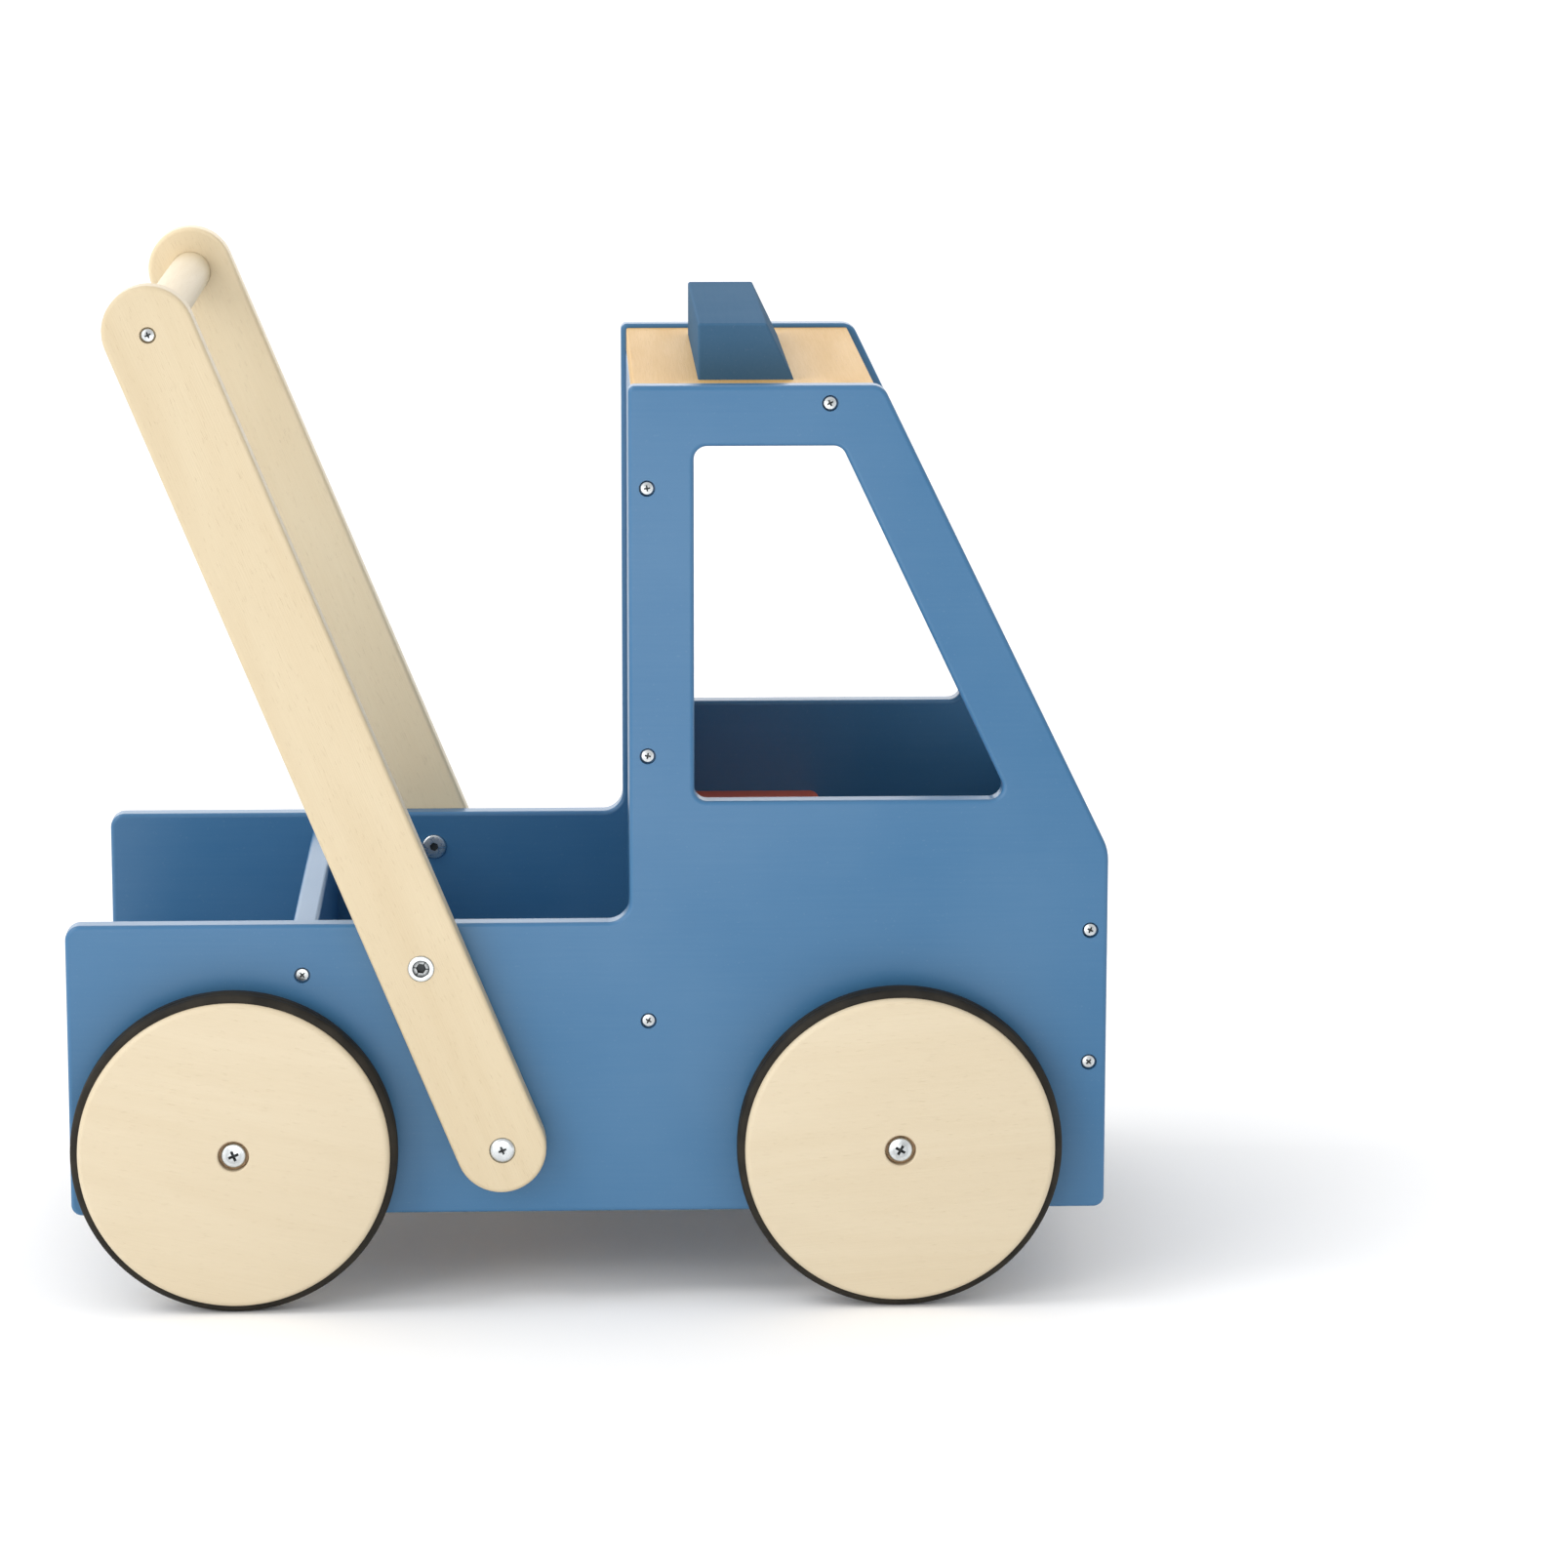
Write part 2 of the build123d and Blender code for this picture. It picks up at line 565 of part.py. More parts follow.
def connector_bolt():
    """The bolt that meets the sleeve nut from inside the body, with a hexagon socket."""
    head_top = RIGHT_INNER_FACE.offset(FLANGE_SINK - CONNECTOR_HEAD_HEIGHT)
    with BuildPart() as bolt:
        with BuildSketch(head_top):
            with Locations(SLEEVE_NUT):
                Circle(FLANGE_RADIUS)
        extrude(amount=CONNECTOR_HEAD_HEIGHT)
        fillet(faces().sort_by(Axis.Y)[-1].edges(), FLANGE_ROUND)
        with BuildSketch(RIGHT_INNER_FACE):
            with Locations(SLEEVE_NUT):
                Circle(BOLT_SHANK)
        extrude(amount=CONNECTOR_REACH)
        with BuildSketch(head_top):
            with Locations(SLEEVE_NUT):
                RegularPolygon(CONNECTOR_SOCKET, 6)
        extrude(amount=CONNECTOR_SOCKET_DEPTH, mode=Mode.SUBTRACT)
    return bolt.part


# ---------------------------------------------------------------- build and write every piece
write_pair(side_panel(), "side_panel")
write(tail_board(), "tail_board")
write(cab_rear_wall(), "cab_rear_wall")
write(front_wall(), "front_wall")
write(roof_board(), "roof_board")
write(floor_board(), "floor_board")
write(seat_board(), "seat_board")
write(seat_riser(), "seat_riser")
write(roof_light_block(), "roof_light_block")
for beam_name, beam_middle in zip(("rear_axle_beam", "handle_beam", "front_axle_beam"), BEAM_XS):
    write(beam(beam_middle), beam_name)

write_pair(handle_arm(), "handle_arm")
write(handle_bar(), "handle_bar")

for end_name, (axle_x, axle_z) in zip(("front", "rear"), AXLES):
    for make, piece_name in ((wheel_disc, "wheel_disc"), (tyre, "tyre"), (wheel_bush, "wheel_bush")):
        write_pair(make(axle_x, axle_z), f"{piece_name}_{end_name}")

axle_sleeves = rings(AXLES, RIGHT_FACE, SLEEVE_RADIUS, BOLT_SHANK + FIT, WHEEL_BOLT_SEAT - SIDE_OUT)
write(both_sides(axle_sleeves), "axle_sleeves")
spacers = rings(AXLES, RIGHT_FACE, SPACER_RADIUS, SLEEVE_RADIUS + FIT, WHEEL_GAP - END_PLAY)
write(both_sides(spacers), "wheel_spacers")
inserts = rings(AXLES + [ARM_BOLT], RIGHT_INNER_FACE, INSERT_RADIUS, BOLT_SHANK + FIT, -INSERT_LENGTH)
write(both_sides(inserts), "beam_inserts")

wheel_bolt_shank = WHEEL_BOLT_SEAT - SIDE_IN + INSERT_LENGTH
wheel_bolt = headed_shank(
    WHEEL_BOLT_HEAD,
    WHEEL_BOLT_HEAD_HEIGHT,
    WHEEL_BOLT_HEAD_BEVEL,
    BOLT_SHANK,
    wheel_bolt_shank,
    WHEEL_BOLT_RECESS,
    BOLT_POINT,
)
wheel_bolt_face = Plane.XZ.offset(WHEEL_BOLT_SEAT + WHEEL_BOLT_HEAD_HEIGHT)
write(both_sides(placed(wheel_bolt, wheel_bolt_face, AXLES)), "wheel_bolts")

arm_bolt_shank = ARM_OUT - ARM_BOLT_SINK - SIDE_IN + INSERT_LENGTH
arm_bolt = headed_shank(
    ARM_BOLT_HEAD,
    ARM_BOLT_HEAD_HEIGHT,
    ARM_BOLT_HEAD_BEVEL,
    BOLT_SHANK,
    arm_bolt_shank,
    ARM_BOLT_RECESS,
    BOLT_POINT,
)
arm_bolt_face = ARM_FACE.offset(ARM_BOLT_HEAD_HEIGHT - ARM_BOLT_SINK)
write(both_sides(placed(arm_bolt, arm_bolt_face, [ARM_BOLT])), "lower_arm_bolts")
write(both_sides(sleeve_nut()), "arm_sleeve_nuts")
write(both_sides(connector_bolt()), "arm_connector_bolts")

panel_screws = placed(wood_screw(PANEL_SCREW_LENGTH), sunk(RIGHT_FACE), PANEL_SCREWS)
write_pair(panel_screws, "panel_screws")
handle_screw = placed(wood_screw(HANDLE_SCREW_LENGTH), sunk(ARM_FACE), [BAR_CENTRE])
write(both_sides(handle_screw), "handle_screws")

floor_screw_spots = [(x, SCREW_HALF_SPREAD) for x in FLOOR_SCREW_XS]
floor_screw_face = sunk(UNDERSIDE.offset(-FLOOR_BOTTOM))
floor_screws = placed(wood_screw(FLOOR_SCREW_LENGTH), floor_screw_face, floor_screw_spots)
write(both_sides(floor_screws), "floor_screws")
beam_screw_spots = [(x, BEAM_SCREW_HALF_SPREAD) for x in BEAM_XS]
beam_screw_face = sunk(UNDERSIDE.offset(-BEAM_BOTTOM))
beam_screws = placed(wood_screw(BEAM_SCREW_LENGTH), beam_screw_face, beam_screw_spots)
write(both_sides(beam_screws), "beam_screws")
light_screw_spots = [(LIGHT_SCREW_X, BEAM_SCREW_HALF_SPREAD)]
light_screw_face = sunk(UNDERSIDE.offset(-ROOF_BOTTOM))
light_screws = placed(wood_screw(LIGHT_SCREW_LENGTH), light_screw_face, light_screw_spots)
write(both_sides(light_screws), "light_screws")
seat_screw_face = sunk(CAB_WALL_BACK)
seat_screws = placed(wood_screw(SEAT_SCREW_LENGTH), seat_screw_face, [(0, SCREW_HALF_SPREAD)])
write(both_sides(seat_screws), "seat_screws")
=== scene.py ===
import math

import bmesh
import bpy
from bpy.props import FloatProperty, FloatVectorProperty, IntProperty, PointerProperty
from mathutils import Matrix, Vector


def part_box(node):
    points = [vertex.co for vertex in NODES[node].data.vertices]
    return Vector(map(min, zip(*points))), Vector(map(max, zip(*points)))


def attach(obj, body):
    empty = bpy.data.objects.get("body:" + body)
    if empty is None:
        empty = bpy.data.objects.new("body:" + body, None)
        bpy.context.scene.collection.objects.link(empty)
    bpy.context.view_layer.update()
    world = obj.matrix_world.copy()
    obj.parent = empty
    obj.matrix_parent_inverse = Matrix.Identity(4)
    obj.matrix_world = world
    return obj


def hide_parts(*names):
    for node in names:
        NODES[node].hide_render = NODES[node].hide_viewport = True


bl_info = {
    "name": "Push-along truck workshop",
    "version": (1, 0, 0),
    "blender": (4, 5, 0),
    "location": "3D View > Sidebar > Walker",
    "description": "Turns the wheels and screws of a wooden push-along truck and finishes its boards",
    "category": "Object",
}

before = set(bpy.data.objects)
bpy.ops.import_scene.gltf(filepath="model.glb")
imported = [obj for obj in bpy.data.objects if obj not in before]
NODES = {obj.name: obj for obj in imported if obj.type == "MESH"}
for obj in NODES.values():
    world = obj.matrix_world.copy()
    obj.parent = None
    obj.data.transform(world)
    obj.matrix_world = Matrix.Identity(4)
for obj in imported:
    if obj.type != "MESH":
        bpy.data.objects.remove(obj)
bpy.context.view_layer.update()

MM = 0.001
WHEEL_ENDS = ("front", "rear")
SIDES = (("right", -1.0), ("left", 1.0))
# How far each disc's grain is turned from the level, in radians.
WHEEL_GRAIN = {
    ("front", "right"): 0.08,
    ("front", "left"): 0.9,
    ("rear", "right"): -0.2,
    ("rear", "left"): 2.2,
}
BOARD_STEP = Vector((0.31, 0.13, 0.07))  # between the places in the board that two discs are cut from
# Painted light: the near (right) arm's wood is darkened and the far (left) arm's paled, standing in for how
# the light falls on the two arms.
ARM_PAINTED_LIGHT = {"right": 0.91, "left": 1.13}
ALONG_Y = (0, 0, math.pi / 2)  # turns a board's grain from X to Y
OUT_OF_PANEL = "sideways"
INTO_CAB = "inwards"

# Sizes that the fasteners' visible models share, each in metres.
SCREW_HEAD_HEIGHT = 2.2 * MM
SCREW_SHANK = 1.9 * MM
SCREW_CROSS = 1.75 * MM
WHEEL_BOLT_HEAD_HEIGHT = 3.4 * MM
WHEEL_BOLT_CROSS = 2.9 * MM
WHEEL_BOLT_DOME = 0.8 * MM
WHEEL_BOLT_EDGE = 0.9 * MM
ARM_BOLT_HEAD_HEIGHT = 2.4 * MM
ARM_BOLT_CROSS = 2.2 * MM
ARM_BOLT_CROSS_DEPTH = 1.5 * MM
BOLT_SHANK = 2.9 * MM
BOLT_PITCH = 1.0 * MM
BOLT_TIP = 1.0 * MM
SCREW_PITCH = 1.5 * MM
SCREW_TIP = 5.0 * MM
WELL_RADIUS = 3.95 * MM
WELL_DEPTH = 1.3 * MM
WELL_SOCKET = 2.5 * MM
WELL_SOCKET_DEPTH = 3.6 * MM
FLANGE_HEIGHT = 1.6 * MM
FLANGE_EDGE = 0.7 * MM
BARREL_RADIUS = 4.0 * MM
BARREL_BORE = 3.0 * MM
BARREL_BORE_DEPTH = 12.0 * MM
CONNECTOR_HEAD_HEIGHT = 2.2 * MM
CONNECTOR_SOCKET = 2.3 * MM
CONNECTOR_SOCKET_DEPTH = 1.6 * MM
CONNECTOR_NECK = 6.0 * MM
BUSH_BORE = 5.05 * MM
PRESS_FIT = 0.05 * MM

# Facets round the smaller turned pieces.
FASTENER_STEPS = 64
SCREW_STEPS = 48

# The turn of the first head and the step to the next, in radians, as a hand driver leaves them.
FIRST_TURN = 0.4
NEXT_TURN = 1.9

# How finely each figure of the wood is drawn: along the grain, then on the two axes across it.
GRAIN_HILLS = (2.4, 17.0, 17.0)
GRAIN_CLOUD = (5.0, 45.0, 45.0)
GRAIN_FIBRE = (38.0, 1500.0, 1500.0)
GRAIN_PORES = (190.0, 1900.0, 1900.0)
GRAIN_RINGS = 62.0  # rings over the whole height of the hills, in radians
PAINT_FIBRE = (22.0, 620.0, 620.0)

PORE_BROWN = (0.36, 0.22, 0.11, 1)
# Painted shade: the dark grey laid into the drivers' recesses and wells.
RECESS_PAINTED_SHADE = (0.055, 0.060, 0.062, 1)
RUBBER_CLEAN = (0.016, 0.014, 0.011, 1)
RUBBER_DUSTY = (0.030, 0.026, 0.020, 1)
BUSH_DEEP = (0.36, 0.225, 0.12, 1)
BUSH_PALE = (0.50, 0.33, 0.185, 1)
FLOOR_DEEP = (0.935, 0.94, 0.945, 1)
FLOOR_PALE = (0.95, 0.95, 0.955, 1)
PLATED_ZINC = (0.70, 0.73, 0.74)
TURNED_BRASS = (0.72, 0.53, 0.25)

# Cosines between which the surround brightens towards the key, the paper ahead comes in, and
# the room behind the camera comes up from the share that is left of it there.
GLOW_RANGE = (-0.8, 0.9)
PAPER_RANGE = (0.55, 0.95)
ROOM_RANGE = (-0.9, 0.0)
ROOM_LEFT = 0.85


# ------------------------------------------------------------------ measuring the frame
def span(node, axis):
    """How far a CAD node reaches along one axis."""
    low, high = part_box(node)
    return high[axis] - low[axis]


def centre(node):
    low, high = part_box(node)
    return (low + high) / 2


def loose_boxes(node):
    """The corners of each separate solid in a CAD node, in a steady order."""
    mesh = bmesh.new()
    mesh.from_mesh(NODES[node].data)
    bmesh.ops.remove_doubles(mesh, verts=mesh.verts, dist=1e-6)
    left = set(mesh.verts)
    boxes = []
    for start in mesh.verts:
        if start not in left:
            continue
        left.discard(start)
        queue, found = [start], []
        while queue:
            vert = queue.pop()
            found.append(vert.co.copy())
            for edge in vert.link_edges:
                other = edge.other_vert(vert)
                if other in left:
                    left.discard(other)
                    queue.append(other)
        low = Vector([min(point[i] for point in found) for i in range(3)])
        high = Vector([max(point[i] for point in found) for i in range(3)])
        boxes.append((low, high))
    mesh.free()
    return sorted(boxes, key=lambda box: [round(value, 4) for value in (*box[0], *box[1])])


# ------------------------------------------------------------------ what a user would change
class WalkerPaint(bpy.types.PropertyGroup):
    """Colours and skin of the painted boards."""

    body_blue: FloatVectorProperty(
        name="Body blue", description="Paint on the sides, walls and roof light",
        subtype="COLOR", size=3, min=0, max=1, default=(0.029, 0.139, 0.285),
    )
    light_blue: FloatVectorProperty(
        name="Roof light blue", description="Thicker, duller paint on the roof light",
        subtype="COLOR", size=3, min=0, max=1, default=(0.048, 0.122, 0.215),
    )
    seat_red: FloatVectorProperty(
        name="Seat red", description="Paint on the seat and its riser",
        subtype="COLOR", size=3, min=0, max=1, default=(0.72, 0.12, 0.045),
    )
    mottle: FloatProperty(
        name="Mottle", description="How much the film's depth of colour wanders",
        default=0.35, min=0, max=1, subtype="FACTOR",
    )
    skin: FloatProperty(
        name="Orange peel", description="Height of the paint's fine ripple",
        default=0.00003, min=0, unit="LENGTH",
    )
    gloss: FloatProperty(
        name="Clear coat", description="How much clear coat lies over the paint", default=0.3, min=0, max=1,
    )


class WalkerTimber(bpy.types.PropertyGroup):
    """Colours of the clear-finished birch."""

    handle_pale: FloatVectorProperty(
        name="Handle pale", description="Early wood of the handle's arms",
        subtype="COLOR", size=3, min=0, max=1, default=(0.69, 0.575, 0.385),
    )
    handle_deep: FloatVectorProperty(
        name="Handle deep", description="Late wood of the handle's arms",
        subtype="COLOR", size=3, min=0, max=1, default=(0.615, 0.485, 0.300),
    )
    wheel_pale: FloatVectorProperty(
        name="Wheel pale", description="Early wood of the wheels",
        subtype="COLOR", size=3, min=0, max=1, default=(0.635, 0.540, 0.383),
    )
    wheel_deep: FloatVectorProperty(
        name="Wheel deep", description="Late wood of the wheels",
        subtype="COLOR", size=3, min=0, max=1, default=(0.565, 0.460, 0.303),
    )
    board_pale: FloatVectorProperty(
        name="Board pale", description="Early wood of the roof and floor",
        subtype="COLOR", size=3, min=0, max=1, default=(0.65, 0.415, 0.158),
    )
    board_deep: FloatVectorProperty(
        name="Board deep", description="Late wood of the roof and floor",
        subtype="COLOR", size=3, min=0, max=1, default=(0.54, 0.32, 0.105),
    )


class WalkerWheels(bpy.types.PropertyGroup):
    """Sizes of the wheels, which start from the frame's own."""

    disc_radius: FloatProperty(
        name="Disc radius", description="Radius of the wooden disc",
        default=span("wheel_disc_front_right", 2) / 2, min=0.01, unit="LENGTH",
    )
    disc_width: FloatProperty(
        name="Disc width", description="Thickness of the wooden disc",
        default=span("wheel_disc_front_right", 1), min=0.005, unit="LENGTH",
    )
    rim_round: FloatProperty(
        name="Rim round", description="Rounding of the disc's outer edges",
        default=2.8 * MM, min=0, unit="LENGTH",
    )
    channel_depth: FloatProperty(
        name="Channel depth", description="How deep the tyre is let into the rim",
        default=2.0 * MM, min=0, unit="LENGTH",
    )
    tyre_radius: FloatProperty(
        name="Tyre radius", description="Radius of the tread",
        default=span("tyre_front_right", 2) / 2, min=0.01, unit="LENGTH",
    )
    tyre_width: FloatProperty(
        name="Tyre width", description="Width of the rubber band",
        default=span("tyre_front_right", 1), min=0.002, unit="LENGTH",
    )
    tyre_round: FloatProperty(
        name="Tyre shoulder", description="Rounding of the tread's shoulders",
        default=3.0 * MM, min=0, unit="LENGTH",
    )
    bore_radius: FloatProperty(
        name="Bore radius", description="Radius of the disc's bore, in which the bush is pressed",
        default=span("wheel_bush_front_right", 2) / 2 + PRESS_FIT, min=0.001, unit="LENGTH",
    )
    turning_steps: IntProperty(
        name="Turning steps", description="Facets round a wheel", default=160, min=24, max=360,
    )


class WalkerStage(bpy.types.PropertyGroup):
    """Camera, floor and lamps."""

    camera_place: FloatVectorProperty(
        name="Camera place", description="Where the camera stands",
        subtype="XYZ", unit="LENGTH", size=3, default=(-0.0122, -2.5660, 0.7164),
    )
    camera_turn: FloatProperty(
        name="Turn", description="How far the camera looks towards the truck's nose",
        subtype="ANGLE", default=math.radians(2.412),
    )
    camera_tilt: FloatProperty(
        name="Tilt", description="How far the camera looks down",
        subtype="ANGLE", default=math.radians(11.018),
    )
    camera_roll: FloatProperty(
        name="Roll", description="How far the camera leans",
        subtype="ANGLE", default=math.radians(0.103),
    )
    camera_lens: FloatProperty(
        name="Lens", description="Focal length in millimetres on a 36 mm sensor", default=124.0, min=10,
    )
    floor_radius: FloatProperty(
        name="Floor radius", description="Radius of the pale floor", default=40.0, min=1, unit="LENGTH",
    )
    key_from: FloatVectorProperty(
        name="Key side", description="Where the light comes from: the upper left, a little in front",
        subtype="DIRECTION", size=3, default=(-0.60, -0.12, 0.78),
    )
    key_strength: FloatProperty(
        name="Key strength", description="Strength of the key light", default=0.75, min=0,
    )
    lamp_power: FloatProperty(
        name="Lamp power", description="Power of the softbox over the truck",
        default=26.0, min=0, unit="POWER",
    )
    fill_power: FloatProperty(
        name="Fill power", description="Power of the low lamp in front", default=2.0, min=0, unit="POWER",
    )
    fill_place: FloatVectorProperty(
        name="Fill place", description="Where the low lamp stands",
        subtype="XYZ", unit="LENGTH", size=3, default=(-0.12, -1.05, 0.10),
    )
    lamp_place: FloatVectorProperty(
        name="Lamp place", description="Where the softbox hangs",
        subtype="XYZ", unit="LENGTH", size=3, default=(-2.20, -2.40, 1.40),
    )
    lamp_size: FloatProperty(
        name="Lamp size", description="Side of the softbox; the low lamp's is a third of it",
        default=1.6, min=0.1, unit="LENGTH",
    )
    key_spread: FloatProperty(
        name="Key spread", description="How wide the key light is, which softens its shadows",
        subtype="ANGLE", default=math.radians(26.0), min=0,
    )
    dim_side: FloatProperty(name="Dim side", description="Surround away from the key", default=0.64, min=0)
    bright_side: FloatProperty(
        name="Bright side", description="Surround around the key", default=1.05, min=0,
    )
    backdrop: FloatProperty(
        name="Backdrop", description="Extra light from the paper that stands behind the truck",
        default=1.3, min=0,
    )


# ------------------------------------------------------------------ node tree shorthand
def feed(tree, socket, value):
    """Give a socket a link or a plain value."""
    if isinstance(value, bpy.types.NodeSocket):
        tree.links.new(value, socket)
    else:
        socket.default_value = value


def maths(tree, operation, first, second=0.0, clamp=False):
    node = tree.nodes.new("ShaderNodeMath")
    node.operation = operation
    node.use_clamp = clamp
    feed(tree, node.inputs[0], first)
    feed(tree, node.inputs[1], second)
    return node.outputs[0]


def stretched(tree, vector, scale):
    """A vector multiplied by a fixed scale on each axis."""
    node = tree.nodes.new("ShaderNodeVectorMath")
    node.operation = "MULTIPLY"
    feed(tree, node.inputs[0], vector)
    node.inputs[1].default_value = scale
    return node.outputs[0]


def noise(tree, vector, scale=1.0, detail=2.0, distortion=0.0):
    node = tree.nodes.new("ShaderNodeTexNoise")
    feed(tree, node.inputs["Vector"], vector)
    node.inputs["Scale"].default_value = scale
    node.inputs["Detail"].default_value = detail
    node.inputs["Distortion"].default_value = distortion
    return node.outputs["Fac"]


def ranged(tree, value, low, high, to_low=0.0, to_high=1.0):
    """Map a value from one range to another, held at the ends."""
    node = tree.nodes.new("ShaderNodeMapRange")
    for socket, amount in zip(node.inputs, (value, low, high, to_low, to_high)):
        feed(tree, socket, amount)
    return node.outputs[0]


def blended(tree, factor, first, second, way="MIX"):
    node = tree.nodes.new("ShaderNodeMix")
    node.data_type = "RGBA"
    node.blend_type = way
    feed(tree, node.inputs[0], factor)
    feed(tree, node.inputs[6], first)
    feed(tree, node.inputs[7], second)
    return node.outputs[2]


def new_group(name, inputs, outputs):
    """A shader node group with named sockets; each input is (name, kind, default)."""
    tree = bpy.data.node_groups.new(name, "ShaderNodeTree")
    for title, kind, default in inputs:
        socket = tree.interface.new_socket(name=title, in_out="INPUT", socket_type=kind)
        if default is not None:
            socket.default_value = default
    for title, kind in outputs:
        tree.interface.new_socket(name=title, in_out="OUTPUT", socket_type=kind)
    return tree, tree.nodes.new("NodeGroupInput").outputs, tree.nodes.new("NodeGroupOutput").inputs


# ------------------------------------------------------------------ shared effects
def wood_grain_group():
    """Plain-sawn birch with its grain along X: figure, fibres and small dark pores."""
    tree, given, result = new_group(
        "Birch grain",
        [
            ("Vector", "NodeSocketVector", None),
            ("Pale", "NodeSocketColor", (0.8, 0.65, 0.45, 1)),
            ("Deep", "NodeSocketColor", (0.7, 0.5, 0.3, 1)),
            ("Figure", "NodeSocketFloat", 0.5),
            ("Fibre", "NodeSocketFloat", 0.4),
            ("Pores", "NodeSocketFloat", 0.5),
        ],
        [("Color", "NodeSocketColor"), ("Roughness", "NodeSocketFloat"), ("Height", "NodeSocketFloat")],
    )
    place = given["Vector"]
    hills = noise(tree, stretched(tree, place, GRAIN_HILLS), 1.0, 1.5, 0.25)
    rings = maths(tree, "SINE", maths(tree, "MULTIPLY", hills, GRAIN_RINGS))
    rings = ranged(tree, rings, -1.0, 1.0)
    cloud = ranged(tree, noise(tree, stretched(tree, place, GRAIN_CLOUD)), 0.3, 0.7)
    fibre = ranged(tree, noise(tree, stretched(tree, place, GRAIN_FIBRE)), 0.3, 0.7)
    pore = ranged(tree, noise(tree, stretched(tree, place, GRAIN_PORES), detail=1.0), 0.66, 0.74)
    figure = maths(tree, "ADD", maths(tree, "MULTIPLY", rings, 0.45), cloud)
    figure = maths(tree, "MULTIPLY", figure, given["Figure"])
    depth = maths(tree, "ADD", figure, maths(tree, "MULTIPLY", fibre, given["Fibre"]), clamp=True)
    timber = blended(tree, depth, given["Pale"], given["Deep"])
    pores = maths(tree, "MULTIPLY", pore, given["Pores"])
    feed(tree, result["Color"], blended(tree, pores, timber, PORE_BROWN))
    feed(tree, result["Roughness"], ranged(tree, depth, 0.0, 1.0, 0.46, 0.60))
    height = maths(tree, "SUBTRACT", fibre, maths(tree, "MULTIPLY", pore, 1.5))
    feed(tree, result["Height"], height)
    return tree


def paint_group():
    """A sprayed film over plywood: wandering depth, orange peel and the fibres that show through."""
    tree, given, result = new_group(
        "Paint film",
        [
            ("Vector", "NodeSocketVector", None),
            ("Paint", "NodeSocketColor", (0.1, 0.2, 0.4, 1)),
            ("Mottle", "NodeSocketFloat", 0.3),
        ],
        [("Color", "NodeSocketColor"), ("Roughness", "NodeSocketFloat"), ("Height", "NodeSocketFloat")],
    )
    place = given["Vector"]
    cloud = noise(tree, place, 9.0, 3.0)
    fibre = noise(tree, stretched(tree, place, PAINT_FIBRE))
    peel = noise(tree, place, 640.0, 1.5)
    speck = ranged(tree, noise(tree, place, 900.0, 0.0), 0.78, 0.84)
    deeper = blended(tree, 1.0, given["Paint"], (0.80, 0.84, 0.90, 1), "MULTIPLY")
    lighter = blended(tree, 0.07, given["Paint"], (1.0, 1.0, 1.0, 1))
    wander = ranged(tree, maths(tree, "ADD", cloud, maths(tree, "MULTIPLY", fibre, 0.16)), 0.35, 0.8)
    tone = blended(tree, wander, deeper, lighter)
    film = blended(tree, given["Mottle"], given["Paint"], tone)
    feed(tree, result["Color"], blended(tree, maths(tree, "MULTIPLY", speck, 0.25), film, lighter))
    feed(tree, result["Roughness"], ranged(tree, cloud, 0.3, 0.7, 0.38, 0.47))
    feed(tree, result["Height"], maths(tree, "ADD", peel, maths(tree, "MULTIPLY", fibre, 0.35)))
    return tree


def handling_group():
    """Fine dust and finger dulling, for rubber and metal: a mask and a roughness."""
    tree, given, result = new_group(
        "Handling marks",
        [
            ("Vector", "NodeSocketVector", None),
            ("Patch size", "NodeSocketFloat", 60.0),
            ("Smooth", "NodeSocketFloat", 0.2),
            ("Dull", "NodeSocketFloat", 0.4),
        ],
        [("Mask", "NodeSocketFloat"), ("Roughness", "NodeSocketFloat"), ("Height", "NodeSocketFloat")],
    )
    node = tree.nodes.new("ShaderNodeTexNoise")
    feed(tree, node.inputs["Vector"], given["Vector"])
    feed(tree, node.inputs["Scale"], given["Patch size"])
    node.inputs["Detail"].default_value = 4.0
    patches = ranged(tree, node.outputs["Fac"], 0.35, 0.65)
    feed(tree, result["Mask"], patches)
    feed(tree, result["Roughness"], ranged(tree, patches, 0.0, 1.0, given["Smooth"], given["Dull"]))
    feed(tree, result["Height"], noise(tree, given["Vector"], 1500.0, 2.0))
    return tree


# ------------------------------------------------------------------ materials
def new_material(name):
    """An empty node material with its Principled shader."""
    material = bpy.data.materials.new(name)
    material.use_nodes = True
    tree = material.node_tree
    return material, tree, tree.nodes["Principled BSDF"]


def use_group(tree, name, **values):
    node = tree.nodes.new("ShaderNodeGroup")
    node.node_tree = bpy.data.node_groups[name]
    for title, value in values.items():
        feed(tree, node.inputs[title.replace("_", " ")], value)
    return node.outputs


def raised(tree, shader, height, distance):
    """Send a height to the shader's normal."""
    bump = tree.nodes.new("ShaderNodeBump")
    bump.inputs["Strength"].default_value = 1.0
    bump.inputs["Distance"].default_value = distance
    tree.links.new(height, bump.inputs["Height"])
    tree.links.new(bump.outputs["Normal"], shader.inputs["Normal"])


def place_in_object(tree, turn=(0.0, 0.0, 0.0)):
    """Object coordinates turned so that the grain runs along X."""
    coordinates = tree.nodes.new("ShaderNodeTexCoord")
    mapping = tree.nodes.new("ShaderNodeMapping")
    mapping.inputs["Rotation"].default_value = turn
    tree.links.new(coordinates.outputs["Object"], mapping.inputs["Vector"])
    return mapping.outputs["Vector"]


def place_in_board(tree):
    """The place in the board that a turned piece was cut from, kept on its mesh."""
    attribute = tree.nodes.new("ShaderNodeAttribute")
    attribute.attribute_name = "board_place"
    return attribute.outputs["Vector"]


def opaque(colour):
    return (*colour, 1.0)


def painted_light_scaled(colour, tone):
    """A colour scaled by an arm's painted light: darker for the near arm, paler for the far one."""
    return [channel * tone for channel in colour]


